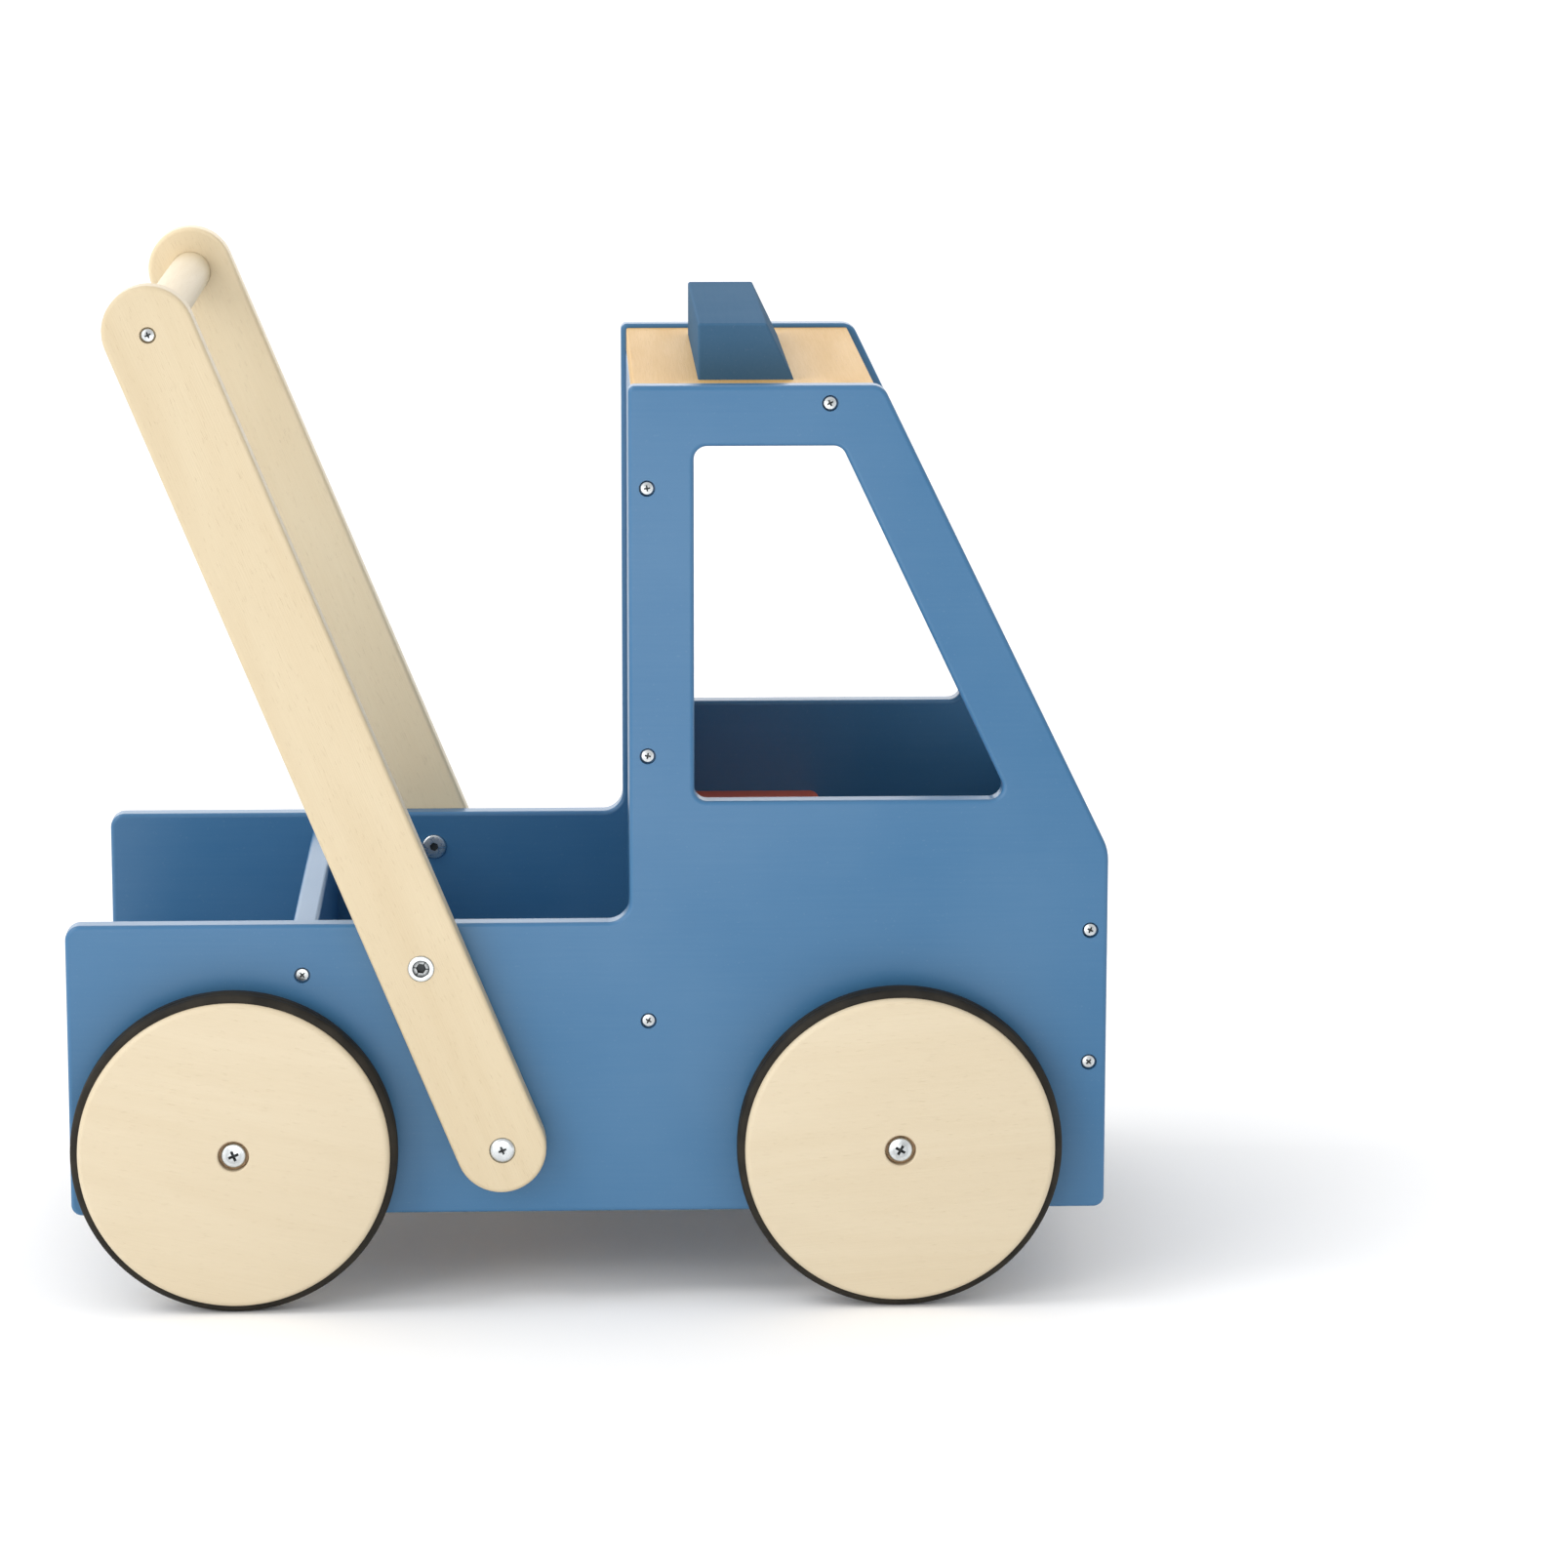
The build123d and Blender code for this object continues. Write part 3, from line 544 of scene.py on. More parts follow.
def birch(name, pale, deep, place, figure, fibre, pores, coat=0.12):
    """Clear-lacquered birch.  place is the turn of its grain, or None for a turned piece's own place."""
    material, tree, shader = new_material(name)
    vector = place_in_board(tree) if place is None else place_in_object(tree, place)
    grain = use_group(
        tree, "Birch grain", Vector=vector, Pale=opaque(pale), Deep=opaque(deep),
        Figure=figure, Fibre=fibre, Pores=pores,
    )
    tree.links.new(grain["Color"], shader.inputs["Base Color"])
    tree.links.new(grain["Roughness"], shader.inputs["Roughness"])
    shader.inputs["Coat Weight"].default_value = coat
    shader.inputs["Coat Roughness"].default_value = 0.35
    shader.inputs["Specular IOR Level"].default_value = 0.2 + 2.5 * coat
    raised(tree, shader, grain["Height"], 0.04 * MM)
    return material


def paint(name, colour, mottle, skin, gloss, turn=(0.0, 0.0, 0.0), matt=False):
    """Satin paint over plywood, or a matt coat."""
    material, tree, shader = new_material(name)
    place = place_in_object(tree, turn)
    film = use_group(tree, "Paint film", Vector=place, Paint=opaque(colour), Mottle=mottle)
    tree.links.new(film["Color"], shader.inputs["Base Color"])
    roughness = maths(tree, "ADD", film["Roughness"], 0.45) if matt else film["Roughness"]
    tree.links.new(roughness, shader.inputs["Roughness"])
    shader.inputs["Specular IOR Level"].default_value = 0.04 if matt else 0.2 + 0.4 * gloss
    shader.inputs["Coat Weight"].default_value = gloss
    shader.inputs["Coat Roughness"].default_value = 0.22
    raised(tree, shader, film["Height"], skin)
    return material


def metal(name, colour, smooth, dull):
    """Plated or turned metal with faint handling marks, and painted shade in its recesses."""
    material, tree, shader = new_material(name)
    place = place_in_object(tree)
    marks = use_group(tree, "Handling marks", Vector=place, Patch_size=420.0, Smooth=smooth, Dull=dull)
    shader.inputs["Metallic"].default_value = 1.0
    darker = tuple(channel * 0.82 for channel in colour)
    worn = blended(tree, marks["Mask"], opaque(colour), opaque(darker))
    # Painted shade: the plating is blended to dark grey by how deep a point lies in a recess, and its
    # roughness rises there too.
    recess = tree.nodes.new("ShaderNodeAttribute")
    recess.attribute_name = "recess_painted_shade"
    depth = recess.outputs["Fac"]
    roughness = maths(tree, "ADD", marks["Roughness"], maths(tree, "MULTIPLY", depth, 0.2))
    tree.links.new(blended(tree, depth, worn, RECESS_PAINTED_SHADE), shader.inputs["Base Color"])
    tree.links.new(roughness, shader.inputs["Roughness"])
    raised(tree, shader, marks["Height"], 0.004 * MM)
    return material


def rubber(name):
    """Dark brown-black rubber with a trace of dust."""
    material, tree, shader = new_material(name)
    place = place_in_object(tree)
    marks = use_group(tree, "Handling marks", Vector=place, Patch_size=70.0, Smooth=0.55, Dull=0.75)
    colour = blended(tree, marks["Mask"], RUBBER_CLEAN, RUBBER_DUSTY)
    tree.links.new(colour, shader.inputs["Base Color"])
    tree.links.new(marks["Roughness"], shader.inputs["Roughness"])
    shader.inputs["Specular IOR Level"].default_value = 0.14
    raised(tree, shader, marks["Height"], 0.03 * MM)
    return material


def nylon(name):
    """Tan plastic of the bushes and spacers."""
    material, tree, shader = new_material(name)
    place = place_in_object(tree)
    marks = use_group(tree, "Handling marks", Vector=place, Patch_size=300.0, Smooth=0.38, Dull=0.52)
    colour = blended(tree, marks["Mask"], BUSH_DEEP, BUSH_PALE)
    tree.links.new(colour, shader.inputs["Base Color"])
    tree.links.new(marks["Roughness"], shader.inputs["Roughness"])
    raised(tree, shader, marks["Height"], 0.01 * MM)
    return material


def dress(node, material):
    """Give a CAD node its finish, in the slots it has."""
    for slot in NODES[node].material_slots:
        slot.material = material


# ------------------------------------------------------------------ modelling by hand
def select_only(piece):
    bpy.ops.object.select_all(action="DESELECT")
    piece.select_set(True)
    bpy.context.view_layer.objects.active = piece


def edit(piece):
    """Go into edit mode with the whole piece selected."""
    select_only(piece)
    bpy.ops.object.mode_set(mode="EDIT")
    bpy.ops.mesh.select_mode(type="VERT")
    bpy.ops.mesh.select_all(action="SELECT")


def turn_on_lathe(name, outline, steps):
    """Spin an outline of (radius, height) points round Z.  An outline that ends off the axis is closed."""
    bpy.ops.object.select_all(action="DESELECT")
    bpy.ops.mesh.primitive_plane_add(size=1 * MM, location=(0, 0, 0))
    piece = bpy.context.object
    piece.name = piece.data.name = name
    edit(piece)
    bpy.ops.mesh.merge(type="CENTER")
    bpy.ops.transform.translate(value=(outline[0][0], 0, outline[0][1]))
    for (radius, height), (next_radius, next_height) in zip(outline, outline[1:]):
        step = (next_radius - radius, 0, next_height - height)
        bpy.ops.mesh.extrude_vertices_move(TRANSFORM_OT_translate={"value": step})
    bpy.ops.mesh.select_all(action="SELECT")
    bpy.ops.mesh.spin(steps=steps, dupli=False, angle=math.tau, center=(0, 0, 0), axis=(0, 0, 1))
    bpy.ops.mesh.select_all(action="SELECT")
    bpy.ops.mesh.remove_doubles(threshold=0.002 * MM)
    bpy.ops.mesh.dissolve_degenerate(threshold=0.001 * MM)
    bpy.ops.mesh.select_all(action="SELECT")
    bpy.ops.mesh.normals_make_consistent(inside=False)
    bpy.ops.object.mode_set(mode="OBJECT")
    return piece


def rounded(corner_radius, corner_height, radius, start, steps=6):
    """Points of a quarter turn round (corner_radius, corner_height), from the angle start, clockwise."""
    points = []
    for step in range(steps + 1):
        angle = math.radians(start - 90.0 * step / steps)
        points.append((corner_radius + radius * math.cos(angle), corner_height + radius * math.sin(angle)))
    return points


def smooth(piece, angle):
    """Shade a piece smooth, but for edges sharper than an angle in degrees."""
    select_only(piece)
    bpy.ops.object.shade_smooth_by_angle(angle=math.radians(angle))


def settle(piece, place=(0, 0, 0), facing=(0, 0, 1), spin=0.0):
    """Turn a piece's +Z to a direction, put it in place, and leave its object at the origin."""
    aim = Vector((0, 0, 1)).rotation_difference(Vector(facing)).to_matrix()
    piece.matrix_world = Matrix.Translation(place) @ (aim @ Matrix.Rotation(spin, 3, "Z")).to_4x4()
    select_only(piece)
    bpy.ops.object.transform_apply(location=True, rotation=True, scale=True)


def copy_of(piece, name):
    select_only(piece)
    bpy.ops.object.duplicate(linked=False)
    twin = bpy.context.object
    twin.name = twin.data.name = name
    return twin


def joined(pieces, name):
    bpy.ops.object.select_all(action="DESELECT")
    for piece in pieces:
        piece.select_set(True)
    bpy.context.view_layer.objects.active = pieces[0]
    bpy.ops.object.join()
    whole = bpy.context.object
    whole.name = whole.data.name = name
    return whole


def discard(piece):
    bpy.data.objects.remove(piece, do_unlink=True)


def cut_away(piece, cutter):
    """Take one solid out of another."""
    select_only(piece)
    bpy.ops.object.modifier_add(type="BOOLEAN")
    modifier = piece.modifiers[-1]
    modifier.operation = "DIFFERENCE"
    modifier.solver = "EXACT"
    modifier.object = cutter
    bpy.ops.object.modifier_apply(modifier=modifier.name)
    discard(cutter)


def tapered_bar(length, width, depth, taper, turn=0.0):
    """One wing of a driver's tip, narrower at its foot, with its top a little above Z = 0."""
    clearance = 0.5 * MM
    bpy.ops.object.select_all(action="DESELECT")
    bpy.ops.mesh.primitive_cube_add(size=1, location=(0, 0, (clearance - depth) / 2))
    bar = bpy.context.object
    bar.scale = (length, width, depth + clearance)
    bpy.ops.object.transform_apply(location=True, rotation=True, scale=True)
    edit(bar)
    bpy.ops.mesh.select_all(action="DESELECT")
    bpy.ops.object.mode_set(mode="OBJECT")
    for vertex in bar.data.vertices:
        vertex.select = vertex.co.z < -0.5 * depth
    bpy.ops.object.mode_set(mode="EDIT")
    bpy.ops.transform.resize(value=(taper, 0.8, 1.0))
    bpy.ops.object.mode_set(mode="OBJECT")
    settle(bar, spin=turn)
    return bar


def cut_cross(piece, half_length, depth, ticks):
    """Cut a cross recess in a head, with four fine ticks between its wings if asked."""
    width = half_length * 0.48
    for turn in (0.0, math.pi / 2):
        cut_away(piece, tapered_bar(2 * half_length, width, depth, 0.5, turn))
    if ticks:
        for turn in (math.pi / 4, -math.pi / 4):
            cut_away(piece, tapered_bar(1.5 * half_length, width * 0.3, depth * 0.3, 0.85, turn))


def finish_piece(piece, material, slot, body, *nodes):
    """Give a finished piece its material and its body, and hide the CAD nodes that it stands for."""
    piece.data.materials.clear()
    piece.data.materials.append(material)
    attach(piece, body)
    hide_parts(*nodes)


def remember_board(piece, turn, offset):
    """Keep each point's place in the board that the piece was cut from, grain along X."""
    placed = Matrix.Rotation(turn, 3, "Y")
    values = []
    for vertex in piece.data.vertices:
        values.extend(placed @ vertex.co + offset)
    attribute = piece.data.attributes.new("board_place", "FLOAT_VECTOR", "POINT")
    attribute.data.foreach_set("vector", values)


def paint_recess_shade(piece, reach, depth, ring=0.0):
    """Mark how deep each point of a driver's recess lies, as the mask for painted shade: the plating is
    painted dark grey there and made rougher.

    With a ring, only the floor outside that radius is marked in full.
    """
    values = []
    for vertex in piece.data.vertices:
        out = math.hypot(vertex.co.x, vertex.co.y)
        marked = out < reach and vertex.co.z > -3 * depth
        share = min(1.0, max(0.0, -vertex.co.z / depth)) if marked else 0.0
        values.append(share if out > ring else 0.35 * share)
    attribute = piece.data.attributes.new("recess_painted_shade", "FLOAT", "POINT")
    attribute.data.foreach_set("value", values)


# ------------------------------------------------------------------ fasteners
def whole_length(low, high):
    """A fastener's length: the longest side of its box."""
    return max(high - low)


def head_radius_of(low, high):
    """Half of a head's width, which is the shortest side of its box."""
    return min(high - low) / 2


def screw_head(head_radius, head_height, dome, edge):
    """The outline of a pan head from its crown to its seat."""
    points = [(0.0, 0.0)]
    for step in range(1, 7):
        share = step / 6
        points.append((share * (head_radius - edge), -dome * share * share))
    points += rounded(head_radius - edge, -dome - edge, edge, 90.0, 5)[1:]
    points.append((head_radius, -head_height))
    return points


def threaded_shank(shank_radius, seat, length, pitch, plain, tip):
    """The outline of a shank: a plain neck, threads, and a point or a blunt end."""
    root = shank_radius * 0.8
    points = [(shank_radius, seat), (shank_radius, seat - plain)]
    depth = plain
    while depth + pitch < length - tip:
        points.append((root, seat - depth - 0.4 * pitch))
        points.append((shank_radius, seat - depth - 0.8 * pitch))
        depth += pitch
    points += [(root, seat - length + tip), (0.3 * shank_radius, seat - length), (0.0, seat - length)]
    return points


def driven_screw(name, low, high, head_height, shank_radius, recess, wood, dome, edge):
    """A screw or bolt with a cross recess, its crown at Z = 0 and its shank down -Z."""
    head_radius = head_radius_of(low, high)
    length = whole_length(low, high) - head_height
    pitch = SCREW_PITCH if wood else BOLT_PITCH
    plain = length * (0.3 if wood else 0.55)
    tip = SCREW_TIP if wood else BOLT_TIP
    outline = screw_head(head_radius, head_height, dome, edge)
    outline += threaded_shank(shank_radius, -head_height, length, pitch, plain, tip)
    piece = turn_on_lathe(name, outline, SCREW_STEPS)
    cut_cross(piece, recess, 0.62 * head_height, ticks=wood)
    # Painted shade in the cross recess.
    paint_recess_shade(piece, 1.15 * recess, 0.4 * head_height)
    smooth(piece, 32.0)
    return piece


def facing_of(way, box):
    """Which way a fastener's head looks."""
    sideways = Vector((0, math.copysign(1.0, box[0].y + box[1].y), 0))
    return {
        OUT_OF_PANEL: sideways,
        INTO_CAB: -sideways,
        "down": Vector((0, 0, -1)),
        "back": Vector((-1, 0, 0)),
    }[way]


def fit_fasteners(node, way, make, material):
    """Put a copy of one made fastener at each solid of a CAD node, and join them into one piece."""
    boxes = loose_boxes(node)
    master = make(*boxes[0])
    copies = []
    for index, box in enumerate(boxes):
        facing = facing_of(way, box)
        middle = (box[0] + box[1]) / 2
        reach = max((box[1] - box[0])[axis] * abs(facing[axis]) for axis in range(3)) / 2
        twin = copy_of(master, f"{node}_{index}")
        settle(twin, middle + facing * reach, facing, spin=FIRST_TURN + NEXT_TURN * index)
        copies.append(twin)
    discard(master)
    piece = joined(copies, f"turned_{node}")
    finish_piece(piece, material, "zinc_steel", "chassis", node)


def make_wood_screw(low, high):
    return driven_screw(
        "wood_screw", low, high, SCREW_HEAD_HEIGHT, SCREW_SHANK, SCREW_CROSS,
        wood=True, dome=0.4 * MM, edge=0.5 * MM,
    )


def make_wheel_bolt(low, high):
    return driven_screw(
        "wheel_bolt", low, high, WHEEL_BOLT_HEAD_HEIGHT, BOLT_SHANK, WHEEL_BOLT_CROSS,
        wood=False, dome=WHEEL_BOLT_DOME, edge=WHEEL_BOLT_EDGE,
    )


def make_arm_bolt(low, high):
    """A flat head with a broad bevel round a raised face."""
    radius = head_radius_of(low, high)
    length = whole_length(low, high) - ARM_BOLT_HEAD_HEIGHT
    face = radius - 1.5 * MM
    outline = [(0.0, 0.0), (face, 0.0), (face + 0.2 * MM, -0.06 * MM)]
    outline += [(radius - 0.2 * MM, -1.0 * MM), (radius, -1.2 * MM), (radius, -ARM_BOLT_HEAD_HEIGHT)]
    outline += threaded_shank(BOLT_SHANK, -ARM_BOLT_HEAD_HEIGHT, length, BOLT_PITCH, length * 0.6, BOLT_TIP)
    piece = turn_on_lathe("arm_bolt", outline, FASTENER_STEPS)
    cut_cross(piece, ARM_BOLT_CROSS, ARM_BOLT_CROSS_DEPTH, ticks=True)
    # Painted shade in the cross recess.
    paint_recess_shade(piece, 2.6 * MM, 0.9 * MM)
    smooth(piece, 30.0)
    return piece


def hexagon_cut(piece, radius, depth):
    """Cut a six-sided socket down from Z = 0."""
    clearance = 1.0 * MM
    bpy.ops.object.select_all(action="DESELECT")
    bpy.ops.mesh.primitive_cylinder_add(
        vertices=6, radius=radius, depth=depth + clearance, location=(0, 0, (clearance - depth) / 2)
    )
    cutter = bpy.context.object
    bpy.ops.object.transform_apply(location=True, rotation=True, scale=True)
    cut_away(piece, cutter)


def make_sleeve_nut(low, high):
    """A flange with a round well, and a socket at the foot of the well."""
    radius = head_radius_of(low, high)
    length = whole_length(low, high)
    ease = 0.15 * MM
    outline = [(0.0, -WELL_DEPTH - 2 * ease), (0.9 * MM, -WELL_DEPTH), (WELL_RADIUS, -WELL_DEPTH)]
    outline += [(WELL_RADIUS, -ease), (WELL_RADIUS + ease, 0.0)]
    outline += rounded(radius - FLANGE_EDGE, -FLANGE_EDGE, FLANGE_EDGE, 90.0, 5)
    outline += [(radius, -FLANGE_HEIGHT), (BARREL_RADIUS, -FLANGE_HEIGHT), (BARREL_RADIUS, -length)]
    outline += [(BARREL_BORE, -length), (BARREL_BORE, -length + BARREL_BORE_DEPTH)]
    outline += [(0.0, -length + BARREL_BORE_DEPTH + 1.0 * MM)]
    piece = turn_on_lathe("sleeve_nut", outline, FASTENER_STEPS)
    hexagon_cut(piece, WELL_SOCKET, WELL_SOCKET_DEPTH)
    # Painted shade on the floor of the well, weaker inside the socket.
    paint_recess_shade(piece, 4.0 * MM, 1.2 * MM, ring=2.4 * MM)
    smooth(piece, 30.0)
    return piece


def make_connector_bolt(low, high):
    """A low round head with a six-sided socket."""
    radius = head_radius_of(low, high)
    head = CONNECTOR_HEAD_HEIGHT
    length = whole_length(low, high) - head
    outline = [(0.0, 0.0)] + rounded(radius - FLANGE_EDGE, -FLANGE_EDGE, FLANGE_EDGE, 90.0, 5)
    outline += [(radius, -head)]
    outline += threaded_shank(BOLT_SHANK, -head, length, BOLT_PITCH, CONNECTOR_NECK, BOLT_TIP)
    piece = turn_on_lathe("connector_bolt", outline, FASTENER_STEPS)
    hexagon_cut(piece, CONNECTOR_SOCKET, CONNECTOR_SOCKET_DEPTH)
    # Painted shade in the socket.
    paint_recess_shade(piece, 2.4 * MM, CONNECTOR_SOCKET_DEPTH / 2)
    smooth(piece, 30.0)
    return piece


# ------------------------------------------------------------------ wheels
def disc_outline(sizes, bush_end):
    """Half the section of a disc, from the back of the bore round the rim to the front of the bore."""
    radius, width, bend = sizes.disc_radius, sizes.disc_width, sizes.rim_round
    channel_back = (width - sizes.tyre_width) / 2
    channel_front = channel_back + sizes.tyre_width
    floor = radius - sizes.channel_depth
    ease = 0.5 * MM
    outline = [(sizes.bore_radius, 0.0), (radius - bend, 0.0)]
    outline += [(x, z) for x, z in reversed(rounded(radius - bend, bend, bend, 0.0))][1:]
    outline += [(radius, channel_back), (floor, channel_back)]
    outline += [(floor, channel_front), (radius, channel_front)]
    outline += list(reversed(rounded(radius - bend, width - bend, bend, 90.0)))
    outline += [(sizes.bore_radius + ease, width), (sizes.bore_radius, width - ease)]
    outline += [(sizes.bore_radius, bush_end), (sizes.bore_radius, 0.0)]
    return outline


def tyre_outline(sizes):
    """The band's section: rounded shoulders and a fine parting ridge round the tread."""
    inner = sizes.disc_radius - sizes.channel_depth
    outer, width, bend = sizes.tyre_radius, sizes.tyre_width, sizes.tyre_round
    ridge = 0.12 * MM
    tread = outer - ridge
    outline = [(inner, 0.0), (tread - bend, 0.0)]
    outline += list(reversed(rounded(tread - bend, bend, bend, 0.0, 8)))[1:]
    outline += [(tread, width / 2 - 2 * ridge), (outer, width / 2 - ridge / 2)]
    outline += [(outer, width / 2 + ridge / 2), (tread, width / 2 + 2 * ridge)]
    outline += list(reversed(rounded(tread - bend, width - bend, bend, 90.0, 8)))
    outline += [(inner, width), (inner, 0.0)]
    return outline


def bush_outline(node):
    """A plain tube with eased ends."""
    outer = span(node, 2) / 2
    length = span(node, 1)
    inner = BUSH_BORE
    ease = 0.3 * MM
    outline = [(inner, ease), (inner + ease, 0.0), (outer, 0.0), (outer, length - ease)]
    outline += [(outer - ease, length), (inner + ease, length), (inner, length - ease), (inner, ease)]
    return outline


def back_of(node, side):
    """Where a wheel piece's inner face meets its axle."""
    low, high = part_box(node)
    middle = (low + high) / 2
    return Vector((middle.x, high.y if side < 0 else low.y, middle.z))


# ------------------------------------------------------------------ operators
class WALKER_OT_shared_effects(bpy.types.Operator):
    """Make the node groups that the finishes share"""

    bl_idname = "walker.shared_effects"
    bl_label = "Shared effects"

    def execute(self, context):
        wood_grain_group()
        paint_group()
        handling_group()
        return {"FINISHED"}


class WALKER_OT_painted_boards(bpy.types.Operator):
    """Paint the sides, the cross walls, the roof light and the seat"""

    bl_idname = "walker.painted_boards"
    bl_label = "Painted boards"

    def execute(self, context):
        colours = context.scene.walker_paint
        skin = (colours.mottle, colours.skin)
        blue = paint("body_blue", colours.body_blue, *skin, colours.gloss)
        cross_blue = paint("cross_board_blue", colours.body_blue, *skin, colours.gloss, ALONG_Y)
        dull_blue = paint("roof_light_blue", colours.light_blue, *skin, 0.0, ALONG_Y, matt=True)
        red = paint("seat_red", colours.seat_red, *skin, colours.gloss, ALONG_Y)
        for node in ("side_panel_left", "side_panel_right", "floor_board"):
            dress(node, blue)
        for node in ("cab_rear_wall", "front_wall", "tail_board"):
            dress(node, cross_blue)
        dress("roof_light_block", dull_blue)
        for node in ("seat_board", "seat_riser"):
            dress(node, red)
        return {"FINISHED"}


class WALKER_OT_birch_boards(bpy.types.Operator):
    """Finish the roof, beams and handle in clear lacquer"""

    bl_idname = "walker.birch_boards"
    bl_label = "Birch boards"

    def execute(self, context):
        wood = context.scene.walker_timber
        top = centre("handle_bar")
        foot = centre("handle_beam")
        lean = math.atan2(top.z - foot.z, top.x - foot.x)
        bar = birch("bar_birch", wood.handle_pale, wood.handle_deep, ALONG_Y, 0.25, 0.20, 0.20)
        roof = birch("roof_birch", wood.board_pale, wood.board_deep, ALONG_Y, 0.35, 0.25, 0.28, coat=0.0)
        beams = birch("beam_birch", wood.board_pale, wood.board_deep, ALONG_Y, 0.45, 0.35, 0.40)
        # Painted light: each arm gets its own copy of the birch, scaled for how light falls on it.
        for side, tone in ARM_PAINTED_LIGHT.items():
            pale, deep = painted_light_scaled(wood.handle_pale, tone), painted_light_scaled(wood.handle_deep, tone)
            arm = birch(f"handle_birch_painted_light_{side}", pale, deep, (0, lean, 0), 0.30, 0.16, 0.12)
            dress(f"handle_arm_{side}", arm)
        dress("handle_bar", bar)
        dress("roof_board", roof)
        for node in ("front_axle_beam", "rear_axle_beam", "handle_beam"):
            dress(node, beams)
        return {"FINISHED"}


class WALKER_OT_wheels(bpy.types.Operator):
    """Turn the wooden discs, their rubber tyres and their bushes"""

    bl_idname = "walker.wheels"
    bl_label = "Wheels"

    def execute(self, context):
        sizes = context.scene.walker_wheels
        wood = context.scene.walker_timber
        disc_wood = birch("wheel_birch", wood.wheel_pale, wood.wheel_deep, None, 0.26, 0.14, 0.12)
        tyre_rubber = rubber("band_rubber")
        bush_plastic = nylon("bush_plastic")
        steps = sizes.turning_steps
        bush_length = span("wheel_bush_front_right", 1)
        masters = {
            "wheel_disc": turn_on_lathe("master_disc", disc_outline(sizes, bush_length), steps),
            "tyre": turn_on_lathe("master_tyre", tyre_outline(sizes), steps),
            "wheel_bush": turn_on_lathe(
                "master_bush", bush_outline("wheel_bush_front_right"), FASTENER_STEPS,
            ),
        }
        finishes = {
            "wheel_disc": (disc_wood, "birch_wheel"),
            "tyre": (tyre_rubber, "tyre_rubber"),
            "wheel_bush": (bush_plastic, "bush_nylon"),
        }
        for master in masters.values():
            smooth(master, 35.0)
        count = 0
        for end in WHEEL_ENDS:
            for side, sign in SIDES:
                for kind, master in masters.items():
                    node = f"{kind}_{end}_{side}"
                    piece = copy_of(master, f"turned_{node}")
                    settle(piece, back_of(node, sign), (0, sign, 0))
                    if kind == "wheel_disc":
                        remember_board(piece, WHEEL_GRAIN[end, side], BOARD_STEP * count)
                    finish_piece(piece, *finishes[kind], f"wheel_{end}_{side}", node)
                count += 1
        for master in masters.values():
            discard(master)
        return {"FINISHED"}


class WALKER_OT_screws(bpy.types.Operator):
    """Turn the wood screws and drive them where the frame has them"""

    bl_idname = "walker.screws"
    bl_label = "Wood screws"

    def execute(self, context):
        zinc = metal("plated_steel", PLATED_ZINC, 0.24, 0.36)
        ways = {
            "panel_screws_right": OUT_OF_PANEL,
            "panel_screws_left": OUT_OF_PANEL,
            "handle_screws": OUT_OF_PANEL,
            "floor_screws": "down",
            "beam_screws": "down",
            "light_screws": "down",
            "seat_screws": "back",
        }
        for node, way in ways.items():
            fit_fasteners(node, way, make_wood_screw, zinc)
        return {"FINISHED"}


class WALKER_OT_bolts(bpy.types.Operator):
    """Turn the wheel bolts, the arm bolts and the handle's connectors, and finish the axle pieces"""

    bl_idname = "walker.bolts"
    bl_label = "Bolts and axle pieces"

    def execute(self, context):
        zinc = bpy.data.materials["plated_steel"]
        fit_fasteners("wheel_bolts", OUT_OF_PANEL, make_wheel_bolt, zinc)
        fit_fasteners("lower_arm_bolts", OUT_OF_PANEL, make_arm_bolt, zinc)
        fit_fasteners("arm_sleeve_nuts", OUT_OF_PANEL, make_sleeve_nut, zinc)
        fit_fasteners("arm_connector_bolts", INTO_CAB, make_connector_bolt, zinc)
        dress("axle_sleeves", zinc)
        dress("wheel_spacers", bpy.data.materials["bush_plastic"])
        dress("beam_inserts", metal("turned_brass", TURNED_BRASS, 0.25, 0.40))
        return {"FINISHED"}


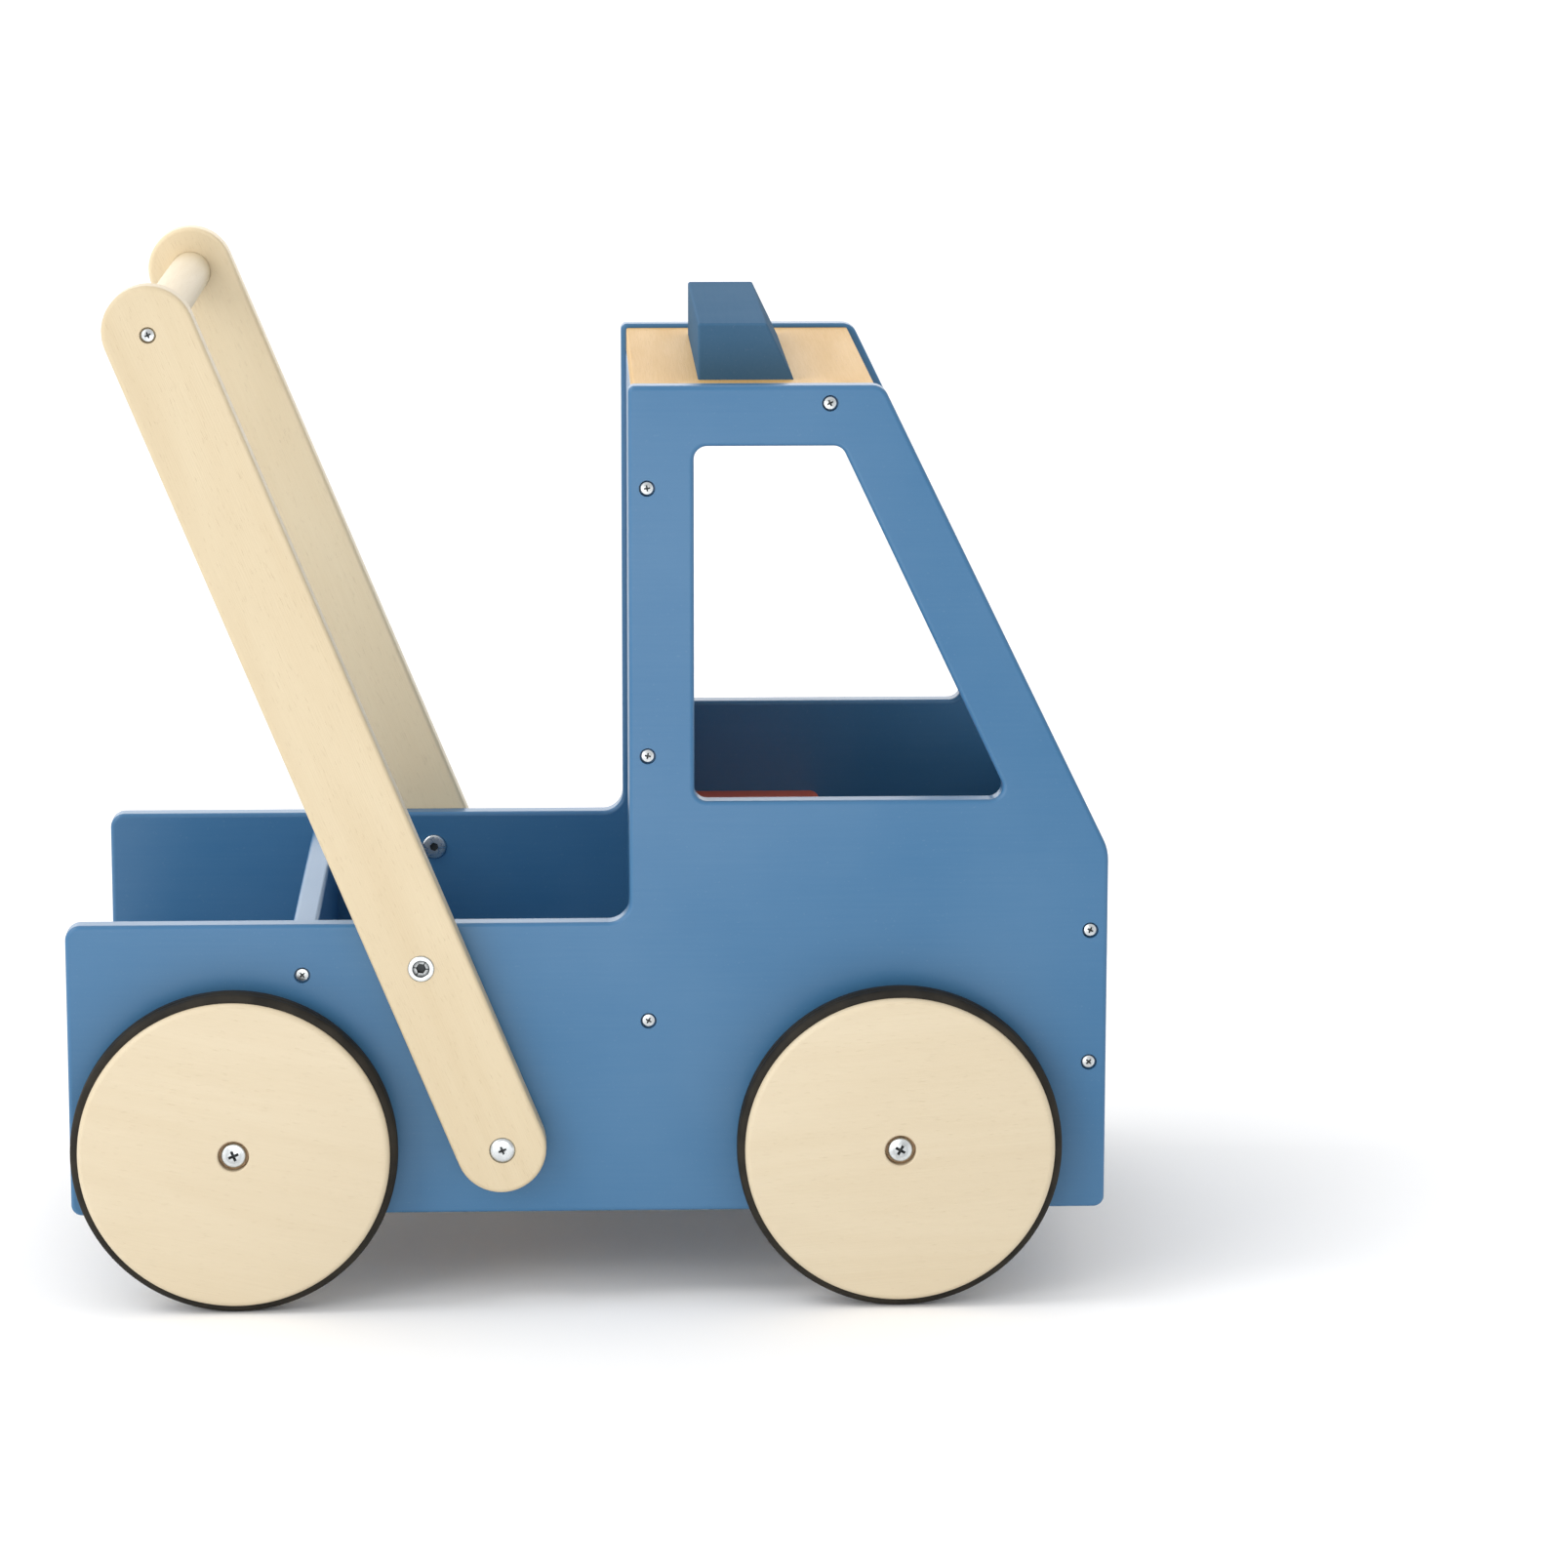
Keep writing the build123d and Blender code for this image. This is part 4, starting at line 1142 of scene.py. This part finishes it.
class WALKER_OT_stage(bpy.types.Operator):
    """Lay the floor, hang the lamps and stand the camera"""

    bl_idname = "walker.stage"
    bl_label = "Stage"

    def execute(self, context):
        stage = context.scene.walker_stage
        self.lay_floor(stage)
        self.light(context.scene, stage)
        self.stand_camera(context.scene, stage)
        context.scene.view_settings.view_transform = "Standard"
        return {"FINISHED"}

    def lay_floor(self, stage):
        material, tree, shader = new_material("stage_white")
        tint = ranged(tree, noise(tree, place_in_object(tree), 3.0, 2.0), 0.3, 0.7)
        colour = blended(tree, tint, FLOOR_DEEP, FLOOR_PALE)
        tree.links.new(colour, shader.inputs["Base Color"])
        shader.inputs["Roughness"].default_value = 0.7
        shader.inputs["Specular IOR Level"].default_value = 0.2
        bpy.ops.object.select_all(action="DESELECT")
        bpy.ops.mesh.primitive_circle_add(vertices=96, radius=stage.floor_radius, fill_type="TRIFAN")
        floor = bpy.context.object
        floor.name = "stage_floor"
        floor.data.materials.append(material)

    def light(self, scene, stage):
        """A white surround that is brighter towards the key, and the key itself."""
        world = bpy.data.worlds.new("studio")
        world.use_nodes = True
        tree = world.node_tree
        way = tree.nodes.new("ShaderNodeTexCoord").outputs["Generated"]
        towards = tree.nodes.new("ShaderNodeVectorMath")
        towards.operation = "DOT_PRODUCT"
        tree.links.new(way, towards.inputs[0])
        towards.inputs[1].default_value = Vector(stage.key_from).normalized()
        glow = ranged(tree, towards.outputs["Value"], *GLOW_RANGE, stage.dim_side, stage.bright_side)
        ahead = tree.nodes.new("ShaderNodeSeparateXYZ")
        tree.links.new(way, ahead.inputs[0])
        paper = ranged(tree, ahead.outputs["Y"], *PAPER_RANGE, 0.0, stage.backdrop)
        room = ranged(tree, ahead.outputs["Y"], *ROOM_RANGE, ROOM_LEFT, 1.0)
        surround = maths(tree, "ADD", maths(tree, "MULTIPLY", glow, room), paper)
        tree.links.new(surround, tree.nodes["Background"].inputs["Strength"])
        tree.nodes["Background"].inputs["Color"].default_value = (1.0, 1.0, 1.0, 1)
        scene.world = world
        bpy.ops.object.light_add(type="SUN", location=stage.key_from)
        key = bpy.context.object
        key.name = "key_light"
        key.data.energy = stage.key_strength
        key.data.angle = stage.key_spread
        key.rotation_euler = Vector(stage.key_from).to_track_quat("Z", "Y").to_euler()
        self.hang_lamp("softbox", stage.lamp_place, stage.lamp_power, stage.lamp_size)
        self.hang_lamp("low_fill", stage.fill_place, stage.fill_power, stage.lamp_size / 3)

    def hang_lamp(self, name, place, power, size):
        """Hang a square lamp that looks at the truck."""
        bpy.ops.object.light_add(type="AREA", location=place)
        lamp = bpy.context.object
        lamp.name = name
        lamp.data.energy = power
        lamp.data.size = size
        lamp.rotation_euler = Vector(place).to_track_quat("Z", "Y").to_euler()

    def stand_camera(self, scene, stage):
        bpy.ops.object.camera_add()
        camera = bpy.context.object
        camera.name = "studio_camera"
        turn = Matrix.Rotation(-stage.camera_turn, 4, "Z")
        tilt = Matrix.Rotation(math.pi / 2 - stage.camera_tilt, 4, "X")
        roll = Matrix.Rotation(stage.camera_roll, 4, "Z")
        camera.matrix_world = Matrix.Translation(stage.camera_place) @ turn @ tilt @ roll
        camera.data.sensor_width = 36.0
        camera.data.lens = stage.camera_lens
        camera.data.clip_end = 200.0
        scene.camera = camera


class WALKER_PT_workshop(bpy.types.Panel):
    """The workshop's steps, in order"""

    bl_label = "Push-along truck"
    bl_idname = "WALKER_PT_workshop"
    bl_space_type = "VIEW_3D"
    bl_region_type = "UI"
    bl_category = "Walker"

    def draw(self, context):
        for step in STEPS:
            self.layout.operator(step.bl_idname)
        for group in ("walker_paint", "walker_timber", "walker_wheels", "walker_stage"):
            settings = getattr(context.scene, group)
            box = self.layout.box()
            for key in settings.__annotations__:
                box.prop(settings, key)


STEPS = (
    WALKER_OT_shared_effects,
    WALKER_OT_painted_boards,
    WALKER_OT_birch_boards,
    WALKER_OT_wheels,
    WALKER_OT_screws,
    WALKER_OT_bolts,
    WALKER_OT_stage,
)
SETTINGS = {
    "walker_paint": WalkerPaint,
    "walker_timber": WalkerTimber,
    "walker_wheels": WalkerWheels,
    "walker_stage": WalkerStage,
}


def register():
    for kind in (*SETTINGS.values(), *STEPS, WALKER_PT_workshop):
        bpy.utils.register_class(kind)
    for name, kind in SETTINGS.items():
        setattr(bpy.types.Scene, name, PointerProperty(type=kind))


def unregister():
    for name in SETTINGS:
        delattr(bpy.types.Scene, name)
    for kind in reversed((*SETTINGS.values(), *STEPS, WALKER_PT_workshop)):
        bpy.utils.unregister_class(kind)


def main():
    register()
    bpy.ops.walker.shared_effects()
    bpy.ops.walker.painted_boards()
    bpy.ops.walker.birch_boards()
    bpy.ops.walker.wheels()
    bpy.ops.walker.screws()
    bpy.ops.walker.bolts()
    bpy.ops.walker.stage()


if __name__ == "__main__":
    main()
